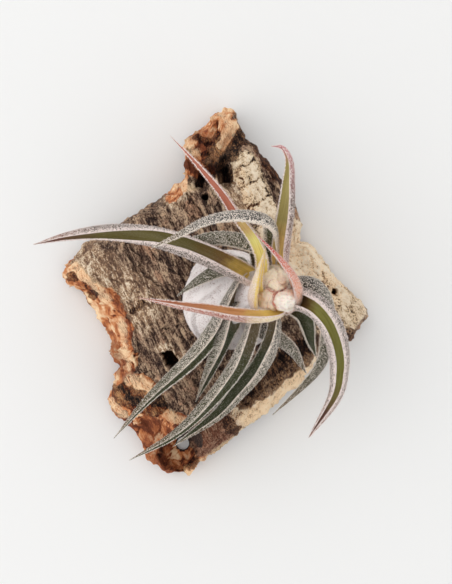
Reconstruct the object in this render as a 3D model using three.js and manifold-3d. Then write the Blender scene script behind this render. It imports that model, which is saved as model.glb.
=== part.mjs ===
// A Tillandsia pruinosa air plant seated on a piece of virgin cork bark that lies on a table.
// Sizes are millimetres and +Z is up. The origin is the middle of the whole piece's footprint,
// at the level of the surface the bark rests on. +Y points to the bark's narrow peak.
import * as THREE from "three";
import { mergeVertices } from "three/addons/utils/BufferGeometryUtils.js";
import Module from "manifold-3d";

const wasm = await Module();
wasm.setup();

// Clearance left between two pieces that touch on the real plant.
const SEAT_GAP = 0.3;

// Cork bark
const BARK_CENTRE = new THREE.Vector2(1, 1);
const BARK_TOP = 21;
const BARK_DOME_DROP = 6;
const BARK_DOME_HALF_WIDTH = 50;
const BARK_LONGEST_SIDE = 3.6;
const BARK_RIM_HEIGHT = 7;
const BARK_FOOT_HEIGHT = 1.2;
const ARCH_RISE = 5;
const ARCH_HALF_WIDTH = 27;
// The trunk the bark came from ran along GRAIN, so the sheet arches across it.
const GRAIN = new THREE.Vector2(0.42, -0.91).normalize();
const ACROSS_GRAIN = new THREE.Vector2(0.91, 0.42).normalize();
const TOP_RINGS = [0.94, 0.88, 0.81, 0.74, 0.67, 0.6, 0.53, 0.46, 0.38, 0.3, 0.21, 0.11];
const UNDER_RINGS = [0.93, 0.8, 0.6, 0.4, 0.2];
const FOOT_RING = 0.985;
const SHOULDER_INSET = 0.45;
const SHOULDER_RISE = 0.6;
// Soft furrows that run with the grain, and a slower swell along it.
const FURROW = { height: 0.6, pitch: 11.4, waver: 0.6, waverPitch: 48 };
const SWELL = { height: 0.35, pitch: 20, skew: 0.2 };
// How many outline points to each side the silhouette's steps are eased over by the middle.
const EASED_OVER = 5;

// The bark's broken silhouette from above, clockwise from the peak.
const BARK_OUTLINE = [
  [3, 60.5], [8.5, 61], [9.5, 60], [9.8, 57.5], [12, 54], [12.6, 51.8], [16, 49.5], [17.5, 46.5],
  [20, 44], [23.5, 40], [25, 37], [27, 32.5], [29.5, 29.5], [31.5, 22.5], [31, 17.5], [35, 16],
  [38, 12], [41.5, 7.5], [43.5, 4.5], [48, 0.5], [53.5, -5.5], [53.8, -8], [51, -11.5], [48, -16],
  [44.8, -16.9], [38.5, -20], [35, -24.5], [30, -30.5], [21.5, -39], [14, -44], [7.5, -49.5],
  [2, -53.5], [-3, -57], [-4.5, -59.5], [-8, -60.5], [-15, -60], [-20, -56], [-22.5, -49],
  [-26, -45.5], [-30, -41.5], [-34, -36], [-31.8, -31.8], [-31.5, -28], [-30, -25], [-33, -20],
  [-31.5, -17.5], [-35, -10], [-37, -5.5], [-41.5, -0.5], [-46.5, 3], [-49, 6], [-47.5, 8.5],
  [-45, 11.5], [-41.5, 16.5], [-37, 19], [-28.5, 23.5], [-21, 28.5], [-11.5, 35], [-8, 38],
  [-7, 44], [-8, 49], [-4.5, 53], [0, 56.5],
];

// Relief on the weathered face: each lump is a ridge from one point to another, raised or sunk
// by height, level to within half a width of its line and gone at the full width.
const BARK_LUMPS = [
  { name: "pale block ridge", from: [11, 42], to: [20, 20], width: 7, height: 3.6 },
  { name: "lichen lobe", from: [30, 10], to: [44, -4], width: 12, height: -2.4 },
  { name: "torn peak hollow", from: [-1, 47], to: [3, 50], width: 6, height: -4 },
  { name: "peak splinter", from: [7, 55], to: [0, 43], width: 2.6, height: 2.6 },
  { name: "dark cleft by the ridge", from: [7.5, 37], to: [6.5, 41], width: 3.6, height: -5 },
  { name: "dark cleft on the left", from: [-2, 36], to: [0, 38], width: 3.4, height: -4.5 },
  { name: "weathered plate", from: [-20, 16], to: [-10, -16], width: 13, height: 1.6 },
  { name: "dark lower slope", from: [30, -18], to: [14, -32], width: 8, height: -3 },
  { name: "bottom block", from: [-2, -47], to: [8, -38], width: 5, height: 2.2 },
  { name: "torn bottom corner", from: [-9, -54], to: [-18, -47], width: 8, height: -7 },
  { name: "thin place by the hole", from: [-8.4, -51.8], to: [-10, -54.5], width: 7, height: -9.4 },
];

// How far the torn side slopes in from the silhouette, by compass sector in degrees from +X.
const TORN_SIDES = [
  { name: "left side", from: 145, to: 252, slope: 8.5 },
  { name: "peak", from: 88, to: 128, slope: 5.5 },
  { name: "bottom", from: 252, to: 285, slope: 4 },
  { name: "cut lower right side", from: 285, to: 322, slope: 6.5 },
];
const WEATHERED_SLOPE = 2.6;
const SECTOR_BLEND = 9;

// Insect and knot holes. The first goes right through.
const BARK_HOLES = [
  { name: "through hole", at: [-8.2, -50.2], radius: 1.8, floor: -5, lean: [-0.03, -0.11] },
  { name: "square pit", at: [-11.6, -21.6], radius: 2.4, floor: 15, lean: [0.1, 0.1] },
  { name: "right pinhole", at: [42, 0.4], radius: 0.9, floor: 11, lean: [0, 0] },
];
const HOLE_SIDES = 7;
const HOLE_FLARE = 1.2;
const HOLE_HEADROOM = 10;

// Swollen base of overlapping leaf sheaths, from the bark to the crown.
const BULB_AXIS = [[7.4, -4, 19.4], [8.4, -2.2, 32], [14, -0.2, 45], [20.5, 0.4, 55.5]];
const BULB_RADII = [0, 9.8, 13.7, 15.4, 15.7, 15.2, 13.8, 11.9, 10, 8.5, 7.5, 6.8, 5.6, 0];
const BULB_SIDES = 30;
const SHEATH_COUNT = 4;
const SHEATH_STEP = 0.9;
const SHEATH_TURN = 1.9;

// Leaf section
const MIDRIB_THICKNESS = 1.3;
const MARGIN_THICKNESS = 0.62;
const LEAF_STATIONS = 15;
const SECTION_STEPS = 5;
// A narrow blade is thinner: this much for each millimetre of breadth, over a fixed part.
const THICKNESS_PER_BREADTH = 0.26;
const THINNEST_MIDRIB = 0.25;
// The channel's radius is never less than this share of the midrib's thickness.
const TIGHTEST_CHANNEL = 0.75;
const SMALLEST_RADIUS = 0.12;
// The section's usual curl at the root, and how far along it reaches the leaf's own.
const CHANNEL_AT_ROOT = 60;
const CHANNEL_SETTLES = 0.35;
const TIP_POWER = 1.1;
// The last section lies just short of the tip, and sections lie a little closer near it.
const LAST_STATION = 0.985;
const STATION_POWER = 0.95;
const ROOT_CAP = 0.3;

// Each leaf runs from its root in the crown along path. breadth is its widest span across the
// channel, taper is how late it narrows, channel is how far round, in degrees, its section curls on
// each side (channelAtRoot at the root) and depth is how much deeper than a round channel it is.
// The channel opens towards face, first at the root and then at the tip.
const LEAVES = [
  {
    name: "bract_pink", finish: "pink", breadth: 7.2, taper: 1.3, channel: 84, depth: 1,
    path: [
      [24.8, -3.4, 50], [27, -1.6, 55.5], [26.6, 2, 61.5], [24.3, 6.2, 67], [20, 11.4, 70.5],
      [14.4, 17.2, 71],
    ],
    face: [[-1, 0.1, 0.45], [-0.7, -0.5, -0.1]],
  },
  {
    name: "leaf_inner_folded", finish: "cream", breadth: 7.2, taper: 1.2, channel: 105, depth: 1,
    path: [[16.2, -4.4, 51.5], [15, -1.2, 58.5], [15.9, 5.2, 64.5], [17.7, 12.8, 69.5]],
    face: [[1, -0.1, 0.45], [1, 0, 0.6]],
  },
  {
    name: "leaf_red_spear", finish: "red", breadth: 3.9, taper: 1.9, channel: 84, depth: 1,
    path: [
      [18, 2.6, 51], [17.2, 6.6, 57.5], [16.6, 11.2, 62], [14, 16.5, 64.5], [9.5, 22.2, 66],
      [4.8, 29, 68.5], [-2.2, 37, 72], [-9.7, 44.7, 75],
    ],
    face: [[-0.3, -1, 0.6], [-0.3, -0.2, 1]],
  },
  {
    name: "leaf_orange_left", finish: "orange", breadth: 4.4, taper: 2.2, channel: 112, depth: 1,
    path: [
      [21.5, -3.4, 51], [21.6, -6, 56], [16.5, -7, 59.3], [9, -6.5, 61.5], [2, -5.2, 61.5],
      [-7.5, -3.7, 60], [-20, -1.5, 56],
    ],
    face: [[0, 1, 0.6], [0.1, 0.75, 0.65]],
  },
  {
    name: "leaf_long_left", finish: "olive", breadth: 5.8, taper: 3, channel: 140,
    depth: 1, channelAtRoot: 100,
    path: [
      [17.6, 2, 49.5], [13, 4.8, 53.8], [7, 8, 57.5], [-0.5, 11.5, 59.5], [-8, 14.5, 59], [-17, 17, 56],
      [-29, 18.3, 50.5], [-41.5, 17.5, 44], [-54, 15, 38],
    ],
    face: [[0.3, 0.8, 0.9], [-0.05, -0.95, 0.7]],
  },
  {
    name: "leaf_silver_arch", finish: "silver", breadth: 4.8, taper: 2.4, channel: 90, depth: 1,
    path: [
      [19.4, 3.4, 48], [19.6, 9.4, 53], [19.8, 14.8, 60.5], [18.6, 19.8, 68.5], [14.5, 21.7, 72.5],
      [7.5, 22, 73], [0, 20.5, 70], [-7, 17.2, 66], [-16, 13, 61],
    ],
    face: [[-0.6, -1, 0.1], [0, -0.4, -1]],
  },
  {
    name: "leaf_tall_right", finish: "olive", breadth: 4.9, taper: 3.6, channel: 118, depth: 1,
    path: [
      [22, 2.4, 49.5], [22.6, 6.8, 54], [22.4, 11.2, 58.8], [22.8, 16.7, 64], [23.7, 24, 69],
      [24.2, 31, 72], [24.3, 37.5, 73], [22.4, 41.4, 73], [19, 42, 72],
    ],
    face: [[-0.5, -0.6, 0.8], [-0.85, -0.35, 0.35]],
  },
  {
    name: "leaf_long_right", finish: "olive", breadth: 6.2, taper: 2.9, channel: 154,
    depth: 1, channelAtRoot: 140,
    path: [
      [23.6, -1.2, 49.5], [27.2, -1.6, 55.2], [30.6, -2.8, 59.2], [33.8, -5, 60.2], [37.2, -9.4, 58.6],
      [39.8, -15.8, 53.4], [40.9, -23.5, 46.5], [39.8, -33, 38.5], [32.5, -46.5, 28],
    ],
    face: [[-0.15, 0, 1], [-0.1, 0.05, 1]],
  },
  {
    name: "leaf_behind_right", finish: "green", breadth: 5.2, taper: 2.6, channel: 95, depth: 1.1,
    path: [
      [22, 1.6, 46], [27, 3.2, 50], [31.2, 3, 53], [34.8, 0.4, 53], [37, -5, 49.8], [37.4, -12.2, 44],
      [34.9, -23.8, 36.5], [21, -39.4, 26],
    ],
    face: [[-0.4, -0.6, -0.5], [-0.75, 0.5, -0.3]],
  },
  {
    name: "leaf_lower_left_1", finish: "green", breadth: 5.4, taper: 2.3, channel: 112, depth: 1.2,
    path: [
      [14.4, 4, 46], [11.6, 3.8, 50.6], [8.8, 0, 52.8], [6.2, -5, 51.2], [2, -12.7, 46.2],
      [-5.4, -21.7, 39], [-18, -33.4, 31], [-30, -47, 24.5],
    ],
    face: [[0.8, -0.3, 0.5], [0.66, -0.55, 0.62]],
  },
  {
    name: "leaf_lower_left_2", finish: "green", breadth: 6.4, taper: 2.3, channel: 104, depth: 1.1,
    path: [[14.5, -1.5, 46], [9.6, -5.2, 50], [7, -10.5, 47], [3.8, -18.3, 40], [-3.5, -35, 27]],
    face: [[0.78, -0.36, 0.5], [0.76, -0.36, 0.52]],
  },
  {
    name: "leaf_lower_left_3", finish: "green", breadth: 5.8, taper: 2.6, channel: 106, depth: 1.05,
    path: [
      [17, -2.4, 47.5], [15, -7.4, 51.2], [13, -14, 47.8], [8.8, -23.7, 41], [0, -35.5, 34],
      [-10.3, -45.4, 28.5], [-25, -54, 25],
    ],
    face: [[0.8, -0.5, 0.5], [0.68, -0.5, 0.54]],
  },
  {
    name: "leaf_lower_left_4", finish: "green", breadth: 6, taper: 2.6, channel: 106, depth: 1.05,
    path: [
      [19.5, -2.6, 48], [20.8, -7.8, 50.8], [20.4, -14, 46.8], [16.9, -22.7, 40], [10, -31.4, 34.5],
      [3, -39.2, 30], [-11, -49.5, 25.5],
    ],
    face: [[-0.9, 0.2, 0.5], [-0.6, 0.45, 0.62]],
  },
  {
    name: "leaf_small_right", finish: "green", breadth: 5.4, taper: 2, channel: 96, depth: 1,
    path: [
      [20, -1.6, 45], [25.6, -3.6, 47.6], [29.6, -6.4, 46], [31.4, -10.5, 42], [32.8, -15.5, 36.5],
      [34.9, -20.5, 30.5],
    ],
    face: [[0.2, -0.2, 1], [0.1, 0.1, 1]],
  },
  {
    name: "leaf_small_lower", finish: "green", breadth: 6.2, taper: 2, channel: 66, depth: 1,
    path: [[13, -5.6, 38], [17, -11.4, 41.6], [22.4, -14.6, 40.4], [27, -18.4, 36.4], [32, -26, 28]],
    face: [[0.3, 0.4, -0.9], [0.5, 0.5, -0.7]],
  },
  {
    name: "leaf_behind_arch", finish: "green", breadth: 7, taper: 2.2, channel: 84, depth: 1,
    path: [
      [17.5, 4, 45], [17.2, 10, 50.5], [13.4, 14.6, 54.5], [6, 16.4, 55.5], [-1.5, 16, 53.5],
      [-12, 13.8, 49],
    ],
    face: [[0, -1, 0], [0, -0.35, -1]],
  },
  {
    name: "leaf_short_on_bulb", finish: "green", breadth: 7.6, taper: 1.2, channel: 50, depth: 1,
    path: [[12.4, 6.5, 42], [9.6, 8.4, 47], [4.5, 7.2, 48.6], [-2.6, 3.6, 46], [-9, -1, 40]],
    face: [[0.2, -0.4, -1], [0.3, -0.2, -1]],
  },
];

// Bracts packed into a bud in the middle of the crown, each a dome on the crown's top.
const BUD_DOMES = [
  { at: [21, 4, 56.6], radii: [3.6, 3.9, 6.2] },
  { at: [23.8, -2, 56.4], radii: [3.8, 3.5, 6.3] },
  { at: [19.8, -0.6, 54.4], radii: [4.3, 5.2, 5.2] },
];
const BUD_SIDES = 14;
const BUD_RINGS = 9;

const FINISHES = {
  cork: { color: 0x7a5f4c, roughness: 0.95 },
  sheath: { color: 0xc9bfba, roughness: 0.85 },
  bud: { color: 0xe6d6c0, roughness: 0.7 },
  pink: { color: 0xd67f72, roughness: 0.75 },
  cream: { color: 0xe3cf95, roughness: 0.75 },
  red: { color: 0x9c5a4b, roughness: 0.75 },
  orange: { color: 0xcf9350, roughness: 0.75 },
  olive: { color: 0x8a8548, roughness: 0.8 },
  silver: { color: 0x9a9d98, roughness: 0.85 },
  green: { color: 0x5f6b52, roughness: 0.8 },
};

// Closed surfaces

// A closed surface from rings of equal length, counted anticlockwise seen from the last ring's
// side, with one point that closes each end.
function surfaceFromRings(rings, first, last) {
  const sides = rings[0].length;
  const points = [first, ...rings.flat(), last];
  const lastIndex = points.length - 1;
  const faces = [];
  const at = (ring, side) => 1 + ring * sides + (side % sides);
  for (let side = 0; side < sides; side += 1) {
    faces.push(0, at(0, side + 1), at(0, side));
    faces.push(lastIndex, at(rings.length - 1, side), at(rings.length - 1, side + 1));
    for (let ring = 0; ring + 1 < rings.length; ring += 1) {
      faces.push(at(ring, side), at(ring, side + 1), at(ring + 1, side + 1));
      faces.push(at(ring, side), at(ring + 1, side + 1), at(ring + 1, side));
    }
  }
  const geometry = new THREE.BufferGeometry();
  geometry.setAttribute("position", new THREE.Float32BufferAttribute(points.flat(), 3));
  geometry.setIndex(faces);
  return geometry;
}

function solidOf(geometry) {
  const bare = geometry.clone();
  bare.deleteAttribute("normal");
  bare.deleteAttribute("uv");
  const merged = mergeVertices(bare, 1e-4);
  return new wasm.Manifold(
    new wasm.Mesh({
      numProp: 3,
      vertProperties: new Float32Array(merged.attributes.position.array),
      triVerts: new Uint32Array(merged.index.array),
    }),
  );
}

function geometryOf(solid) {
  const mesh = solid.getMesh();
  const geometry = new THREE.BufferGeometry();
  geometry.setAttribute("position", new THREE.BufferAttribute(mesh.vertProperties, 3));
  geometry.setIndex(new THREE.BufferAttribute(mesh.triVerts, 1));
  return geometry.toNonIndexed();
}

// The biggest body of a solid, for one that a cut has left with loose scraps.
function mainBody(solid) {
  const bodies = solid.decompose();
  bodies.sort((a, b) => b.volume() - a.volume());
  return bodies[0];
}

// Cork bark

const smooth = (t) => t * t * (3 - 2 * t);
const clamp01 = (t) => Math.min(1, Math.max(0, t));

function distanceToLine(x, y, [ax, ay], [bx, by]) {
  const length2 = (bx - ax) ** 2 + (by - ay) ** 2;
  const along = clamp01(((x - ax) * (bx - ax) + (y - ay) * (by - ay)) / length2);
  return Math.hypot(x - ax - along * (bx - ax), y - ay - along * (by - ay));
}

function barkTop(x, y) {
  const across = x * ACROSS_GRAIN.x + y * ACROSS_GRAIN.y;
  const along = x * GRAIN.x + y * GRAIN.y;
  let height = BARK_TOP - BARK_DOME_DROP * (across / BARK_DOME_HALF_WIDTH) ** 2;
  for (const lump of BARK_LUMPS) {
    const reach = distanceToLine(x, y, lump.from, lump.to) / lump.width;
    height += lump.height * smooth(clamp01(2 - 2 * reach));
  }
  const waver = FURROW.waver * Math.sin((2 * Math.PI * along) / FURROW.waverPitch);
  height += FURROW.height * Math.sin((2 * Math.PI * across) / FURROW.pitch + waver);
  return height + SWELL.height * Math.sin((2 * Math.PI * along) / SWELL.pitch + SWELL.skew * across);
}

function barkUnder(x, y) {
  const across = (x * ACROSS_GRAIN.x + y * ACROSS_GRAIN.y) / ARCH_HALF_WIDTH;
  return Math.max(0, ARCH_RISE * (1 - across * across));
}

function tornSlope(angle) {
  let slope = WEATHERED_SLOPE;
  for (const side of TORN_SIDES) {
    const inside = Math.min(angle - side.from, side.to - angle);
    slope += (side.slope - WEATHERED_SLOPE) * smooth(clamp01(inside / SECTOR_BLEND + 0.5));
  }
  return slope;
}

function outlinePoints() {
  const points = [];
  BARK_OUTLINE.forEach(([x, y], i) => {
    const [nextX, nextY] = BARK_OUTLINE[(i + 1) % BARK_OUTLINE.length];
    const steps = Math.ceil(Math.hypot(nextX - x, nextY - y) / BARK_LONGEST_SIDE);
    for (let k = 0; k < steps; k += 1)
      points.push([x + ((nextX - x) * k) / steps, y + ((nextY - y) * k) / steps]);
  });
  return points.reverse();
}

function barkGeometry() {
  const spokes = outlinePoints().map(([x, y]) => new THREE.Vector2(x, y).sub(BARK_CENTRE));
  const lengths = spokes.map((spoke) => spoke.length());
  const eased = lengths.map((_, i) => {
    let sum = 0;
    for (let k = -EASED_OVER; k <= EASED_OVER; k += 1) sum += lengths.at((i + k) % lengths.length);
    return sum / (2 * EASED_OVER + 1);
  });
  const ring = (share, inset, heightAt) =>
    spokes.map((spoke, i) => {
      const angle = (THREE.MathUtils.radToDeg(spoke.angle()) + 360) % 360;
      const length = THREE.MathUtils.lerp(eased[i], lengths[i], clamp01(4 * share - 3));
      const out = spoke.clone().setLength((length - inset * tornSlope(angle)) * share);
      const px = BARK_CENTRE.x + out.x;
      const py = BARK_CENTRE.y + out.y;
      return [px, py, heightAt(px, py)];
    });
  const rings = [
    ...UNDER_RINGS.toReversed().map((share) => ring(share, 0, barkUnder)),
    ring(FOOT_RING, 0, (x, y) => barkUnder(x, y) + BARK_FOOT_HEIGHT),
    ring(1, 0, () => BARK_RIM_HEIGHT),
    ring(1, SHOULDER_INSET, (x, y) =>
      THREE.MathUtils.lerp(BARK_RIM_HEIGHT, barkTop(x, y), SHOULDER_RISE)),
    ring(1, 1, barkTop),
    ...TOP_RINGS.map((share) => ring(share, 1, barkTop)),
  ];
  const { x, y } = BARK_CENTRE;
  return surfaceFromRings(rings, [x, y, barkUnder(x, y)], [x, y, barkTop(x, y)]);
}

function holeGeometry(hole) {
  const tall = BARK_TOP + HOLE_HEADROOM - hole.floor;
  const mouth = hole.radius * HOLE_FLARE;
  const geometry = new THREE.CylinderGeometry(mouth, hole.radius, tall, HOLE_SIDES);
  geometry.rotateX(Math.PI / 2);
  geometry.translate(0, 0, hole.floor + tall / 2);
  const position = geometry.attributes.position;
  for (let i = 0; i < position.count; i += 1) {
    const depth = BARK_TOP - position.getZ(i);
    position.setX(i, position.getX(i) + hole.at[0] + hole.lean[0] * depth);
    position.setY(i, position.getY(i) + hole.at[1] + hole.lean[1] * depth);
  }
  return geometry;
}

// Swollen base

function bulbGeometry(grow) {
  const axis = new THREE.CatmullRomCurve3(
    BULB_AXIS.map((p) => new THREE.Vector3(...p)), false, "catmullrom",
  );
  const last = BULB_RADII.length - 1;
  const rings = [];
  for (let i = 1; i < last; i += 1) {
    const share = i / last;
    const centre = axis.getPointAt(share);
    const up = axis.getTangentAt(share);
    const side = new THREE.Vector3(0, 1, 0).cross(up).normalize();
    const front = up.clone().cross(side);
    const ring = [];
    for (let k = 0; k < BULB_SIDES; k += 1) {
      const angle = (2 * Math.PI * k) / BULB_SIDES;
      const wound = (k / BULB_SIDES) * SHEATH_COUNT + share * SHEATH_TURN;
      const lap = SHEATH_STEP * (wound - Math.floor(wound) - 1 / 2);
      const radius = BULB_RADII[i] + lap + grow;
      ring.push(
        centre.clone()
          .addScaledVector(side, radius * Math.cos(angle))
          .addScaledVector(front, radius * Math.sin(angle))
          .toArray(),
      );
    }
    rings.push(ring);
  }
  const foot = axis.getPointAt(0).addScaledVector(axis.getTangentAt(0), -grow);
  const crown = axis.getPointAt(1).addScaledVector(axis.getTangentAt(1), grow);
  return surfaceFromRings(rings, foot.toArray(), crown.toArray());
}

// Leaves

// The channelled section at one place along a leaf, as [across, towards the face] pairs: along
// the back from margin to margin, then back through the channel. Its middle is on the path.
function leafSection(leaf, share, grow) {
  const breadth = leafBreadth(leaf, share);
  const grown = smooth(clamp01(share / CHANNEL_SETTLES));
  const atRoot = leaf.channelAtRoot ?? CHANNEL_AT_ROOT;
  const curl = THREE.MathUtils.degToRad(THREE.MathUtils.lerp(atRoot, leaf.channel, grown));
  const midrib = THREE.MathUtils.clamp(
    THICKNESS_PER_BREADTH * breadth + THINNEST_MIDRIB, MARGIN_THICKNESS, MIDRIB_THICKNESS,
  );
  const halfSpan = Math.sin(Math.min(curl, Math.PI / 2));
  const radius = Math.max(breadth / 2 / halfSpan, TIGHTEST_CHANNEL * midrib);
  const narrow = Math.min(breadth / 2 / radius, halfSpan);
  const reach = (curl * Math.asin(narrow)) / Math.asin(halfSpan);
  const middle = (radius * (1 - Math.cos(reach))) / 2;
  const section = [];
  for (const side of [1, -1]) {
    for (let k = 0; k <= SECTION_STEPS; k += 1) {
      const turn = side * reach * ((2 * k) / SECTION_STEPS - 1);
      const thickness = THREE.MathUtils.lerp(midrib, MARGIN_THICKNESS, (turn / reach) ** 2);
      const margin = k === 0 || k === SECTION_STEPS ? 1 + grow / radius : 1;
      const r = Math.max(SMALLEST_RADIUS, radius + side * (thickness / 2 + grow));
      const rise = radius - r * Math.cos(turn * margin) - middle;
      section.push([r * Math.sin(turn * margin), leaf.depth * rise]);
    }
  }
  return section;
}

function leafBreadth(leaf, share) {
  return leaf.breadth * (1 - share ** leaf.taper) ** TIP_POWER;
}

function leafGeometry(leaf, grow = 0) {
  const spine = new THREE.CatmullRomCurve3(
    leaf.path.map((p) => new THREE.Vector3(...p)), false, "catmullrom",
  );
  const faceAtRoot = new THREE.Vector3(...leaf.face[0]).normalize();
  const faceAtTip = new THREE.Vector3(...leaf.face[1]).normalize();
  const rings = [];
  for (let i = 0; i < LEAF_STATIONS; i += 1) {
    const share = LAST_STATION * (i / (LEAF_STATIONS - 1)) ** STATION_POWER;
    const centre = spine.getPointAt(share);
    const tangent = spine.getTangentAt(share);
    const face = faceAtRoot.clone().lerp(faceAtTip, share);
    face.addScaledVector(tangent, -face.dot(tangent)).normalize();
    const across = face.clone().cross(tangent);
    rings.push(
      leafSection(leaf, share, grow).map(([a, b]) =>
        centre.clone().addScaledVector(across, a).addScaledVector(face, b).toArray(),
      ),
    );
  }
  const root = spine.getPointAt(0).addScaledVector(spine.getTangentAt(0), -grow - ROOT_CAP);
  const tip = spine.getPointAt(1).addScaledVector(spine.getTangentAt(1), grow);
  return surfaceFromRings(rings, root.toArray(), tip.toArray());
}

// Bud

function budSolid(grow) {
  return BUD_DOMES.map(({ at, radii }) => {
    const dome = new THREE.SphereGeometry(1, BUD_SIDES, BUD_RINGS);
    dome.rotateX(Math.PI / 2);
    dome.scale(radii[0] + grow, radii[1] + grow, radii[2] + grow);
    dome.translate(...at);
    return solidOf(dome);
  }).reduce((whole, dome) => whole.add(dome));
}

// Assembly: what sits deeper in the crown keeps its form, and what comes after is cut clear of it.

const plant = new THREE.Group();

function addPiece(name, solid, finish) {
  const material = new THREE.MeshStandardMaterial({ ...FINISHES[finish], metalness: 0 });
  const mesh = new THREE.Mesh(geometryOf(solid), material);
  mesh.name = name;
  plant.add(mesh);
}

const bulb = solidOf(bulbGeometry(0));
const clearOfBulb = solidOf(bulbGeometry(SEAT_GAP));
const holes = BARK_HOLES.map((hole) => solidOf(holeGeometry(hole)));
const bark = holes.reduce((whole, hole) => whole.subtract(hole), solidOf(barkGeometry()));
addPiece("cork_bark", mainBody(bark.subtract(clearOfBulb)), "cork");
addPiece("pseudobulb", bulb, "sheath");
addPiece("flower_bud", mainBody(budSolid(0).subtract(clearOfBulb)), "bud");

const keepClear = [clearOfBulb, budSolid(SEAT_GAP)];
for (const leaf of LEAVES) {
  const blade = keepClear.reduce((rest, other) => rest.subtract(other), solidOf(leafGeometry(leaf)));
  addPiece(leaf.name, mainBody(blade), leaf.finish);
  keepClear.push(solidOf(leafGeometry(leaf, SEAT_GAP)));
}

export default plant;
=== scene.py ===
import math

import bmesh
import bpy
import numpy as np
from bpy.props import FloatProperty, FloatVectorProperty, IntProperty, PointerProperty
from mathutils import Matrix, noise


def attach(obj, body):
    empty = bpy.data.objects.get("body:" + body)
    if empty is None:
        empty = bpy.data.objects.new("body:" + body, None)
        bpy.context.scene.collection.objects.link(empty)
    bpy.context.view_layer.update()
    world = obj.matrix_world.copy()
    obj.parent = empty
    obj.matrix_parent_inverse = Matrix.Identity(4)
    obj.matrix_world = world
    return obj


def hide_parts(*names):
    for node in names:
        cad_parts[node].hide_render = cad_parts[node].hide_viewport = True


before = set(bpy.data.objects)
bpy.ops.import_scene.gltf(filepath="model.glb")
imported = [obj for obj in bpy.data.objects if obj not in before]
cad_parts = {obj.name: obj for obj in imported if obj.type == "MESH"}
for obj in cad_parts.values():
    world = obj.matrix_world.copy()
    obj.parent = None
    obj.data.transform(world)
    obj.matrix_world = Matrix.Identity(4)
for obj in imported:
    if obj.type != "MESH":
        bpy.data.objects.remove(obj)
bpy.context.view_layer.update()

bl_info = {
    "name": "Air plant on cork bark",
    "version": (1, 0, 0),
    "blender": (4, 5, 0),
    "location": "3D View > Sidebar > Air plant",
    "description": "Dresses a frosted Tillandsia pruinosa and the cork bark it sits on",
    "category": "Add Mesh",
}

# The tables below are in millimetres, and MM turns a finished mesh into Blender's metres.
MM = 0.001

# Cork bark, from nearly the same sizes as the part's solid
BARK_CENTRE = np.array([1.0, 1.0])
BARK_TOP = 21
BARK_DOME_DROP = 6
BARK_DOME_HALF_WIDTH = 50
BARK_RIM_HEIGHT = 7
BARK_FOOT_HEIGHT = 1.2
ARCH_RISE = 5
ARCH_HALF_WIDTH = 27
GRAIN_ANGLE = math.atan2(-0.91, 0.42)
GRAIN = np.array([math.cos(GRAIN_ANGLE), math.sin(GRAIN_ANGLE)])
ACROSS_GRAIN = np.array([-GRAIN[1], GRAIN[0]])
SHOULDER_INSET = 0.45
SHOULDER_RISE = 0.6
FURROW = {"height": 0.6, "pitch": 11.4, "waver": 0.6, "waver_pitch": 48}
SWELL = {"height": 0.35, "pitch": 20, "skew": 0.2}
EASED_OVER = 18

# How closely the bark's surface is divided: round the silhouette, over the top, down the torn
# slope, down the rim and underneath.
BARK_STEP = 0.64
TOP_RING_COUNT = 86
SLOPE_RING_COUNT = 15
RIM_SHARES = [0.3, 0.65]
UNDER_RINGS = [0.06, 0.14, 0.24, 0.34, 0.44, 0.54, 0.64, 0.74, 0.83, 0.9, 0.95]
FOOT_RING = 0.985

BARK_OUTLINE = [
    [3, 60.5], [8.5, 61], [9.5, 60], [9.8, 57.5], [12, 54], [12.6, 51.8], [16, 49.5], [17.5, 46.5],
    [20, 44], [23.5, 40], [25, 37], [27, 32.5], [29.5, 29.5], [31.5, 22.5], [31, 17.5], [35, 16],
    [38, 12], [41.5, 7.5], [43.5, 4.5], [48, 0.5], [53.5, -5.5], [53.8, -8], [51, -11.5], [48, -16],
    [44.8, -16.9], [38.5, -20], [35, -24.5], [30, -30.5], [21.5, -39], [14, -44], [7.5, -49.5],
    [2, -53.5], [-3, -57], [-4.5, -59.5], [-8, -60.5], [-15, -60], [-20, -56], [-22.5, -49],
    [-26, -45.5], [-30, -41.5], [-34, -36], [-31.8, -31.8], [-31.5, -28], [-30, -25], [-33, -20],
    [-31.5, -17.5], [-35, -10], [-37, -5.5], [-41.5, -0.5], [-46.5, 3], [-49, 6], [-47.5, 8.5],
    [-45, 11.5], [-41.5, 16.5], [-37, 19], [-28.5, 23.5], [-21, 28.5], [-11.5, 35], [-8, 38],
    [-7, 44], [-8, 49], [-4.5, 53], [0, 56.5],
]

# A lump or a patch follows a line, is full within half of its width of it and gone at its width:
# name, start and end of the line, width, and for a lump its height.
BARK_LUMPS = [
    ("pale block ridge", (11, 42), (20, 20), 7, 3.6),
    ("lichen lobe", (30, 10), (44, -4), 12, -2.4),
    ("torn peak hollow", (-1, 47), (3, 50), 6, -4),
    ("peak splinter", (7, 55), (0, 43), 2.6, 2.6),
    ("cleft by the ridge", (7.5, 37), (6.5, 41), 3.6, -5),
    ("cleft on the left", (-2, 36), (0, 38), 3.4, -4.5),
    ("weathered plate", (-20, 16), (-10, -16), 13, 1.6),
    ("dark lower slope", (30, -18), (14, -32), 8, -3),
    ("bottom block", (-2, -47), (8, -38), 5, 2.2),
    ("torn bottom corner", (-9, -54), (-18, -47), 8, -7),
    ("thin place by the hole", (-8.4, -51.8), (-10, -54.5), 7, -10.6),
]
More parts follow.
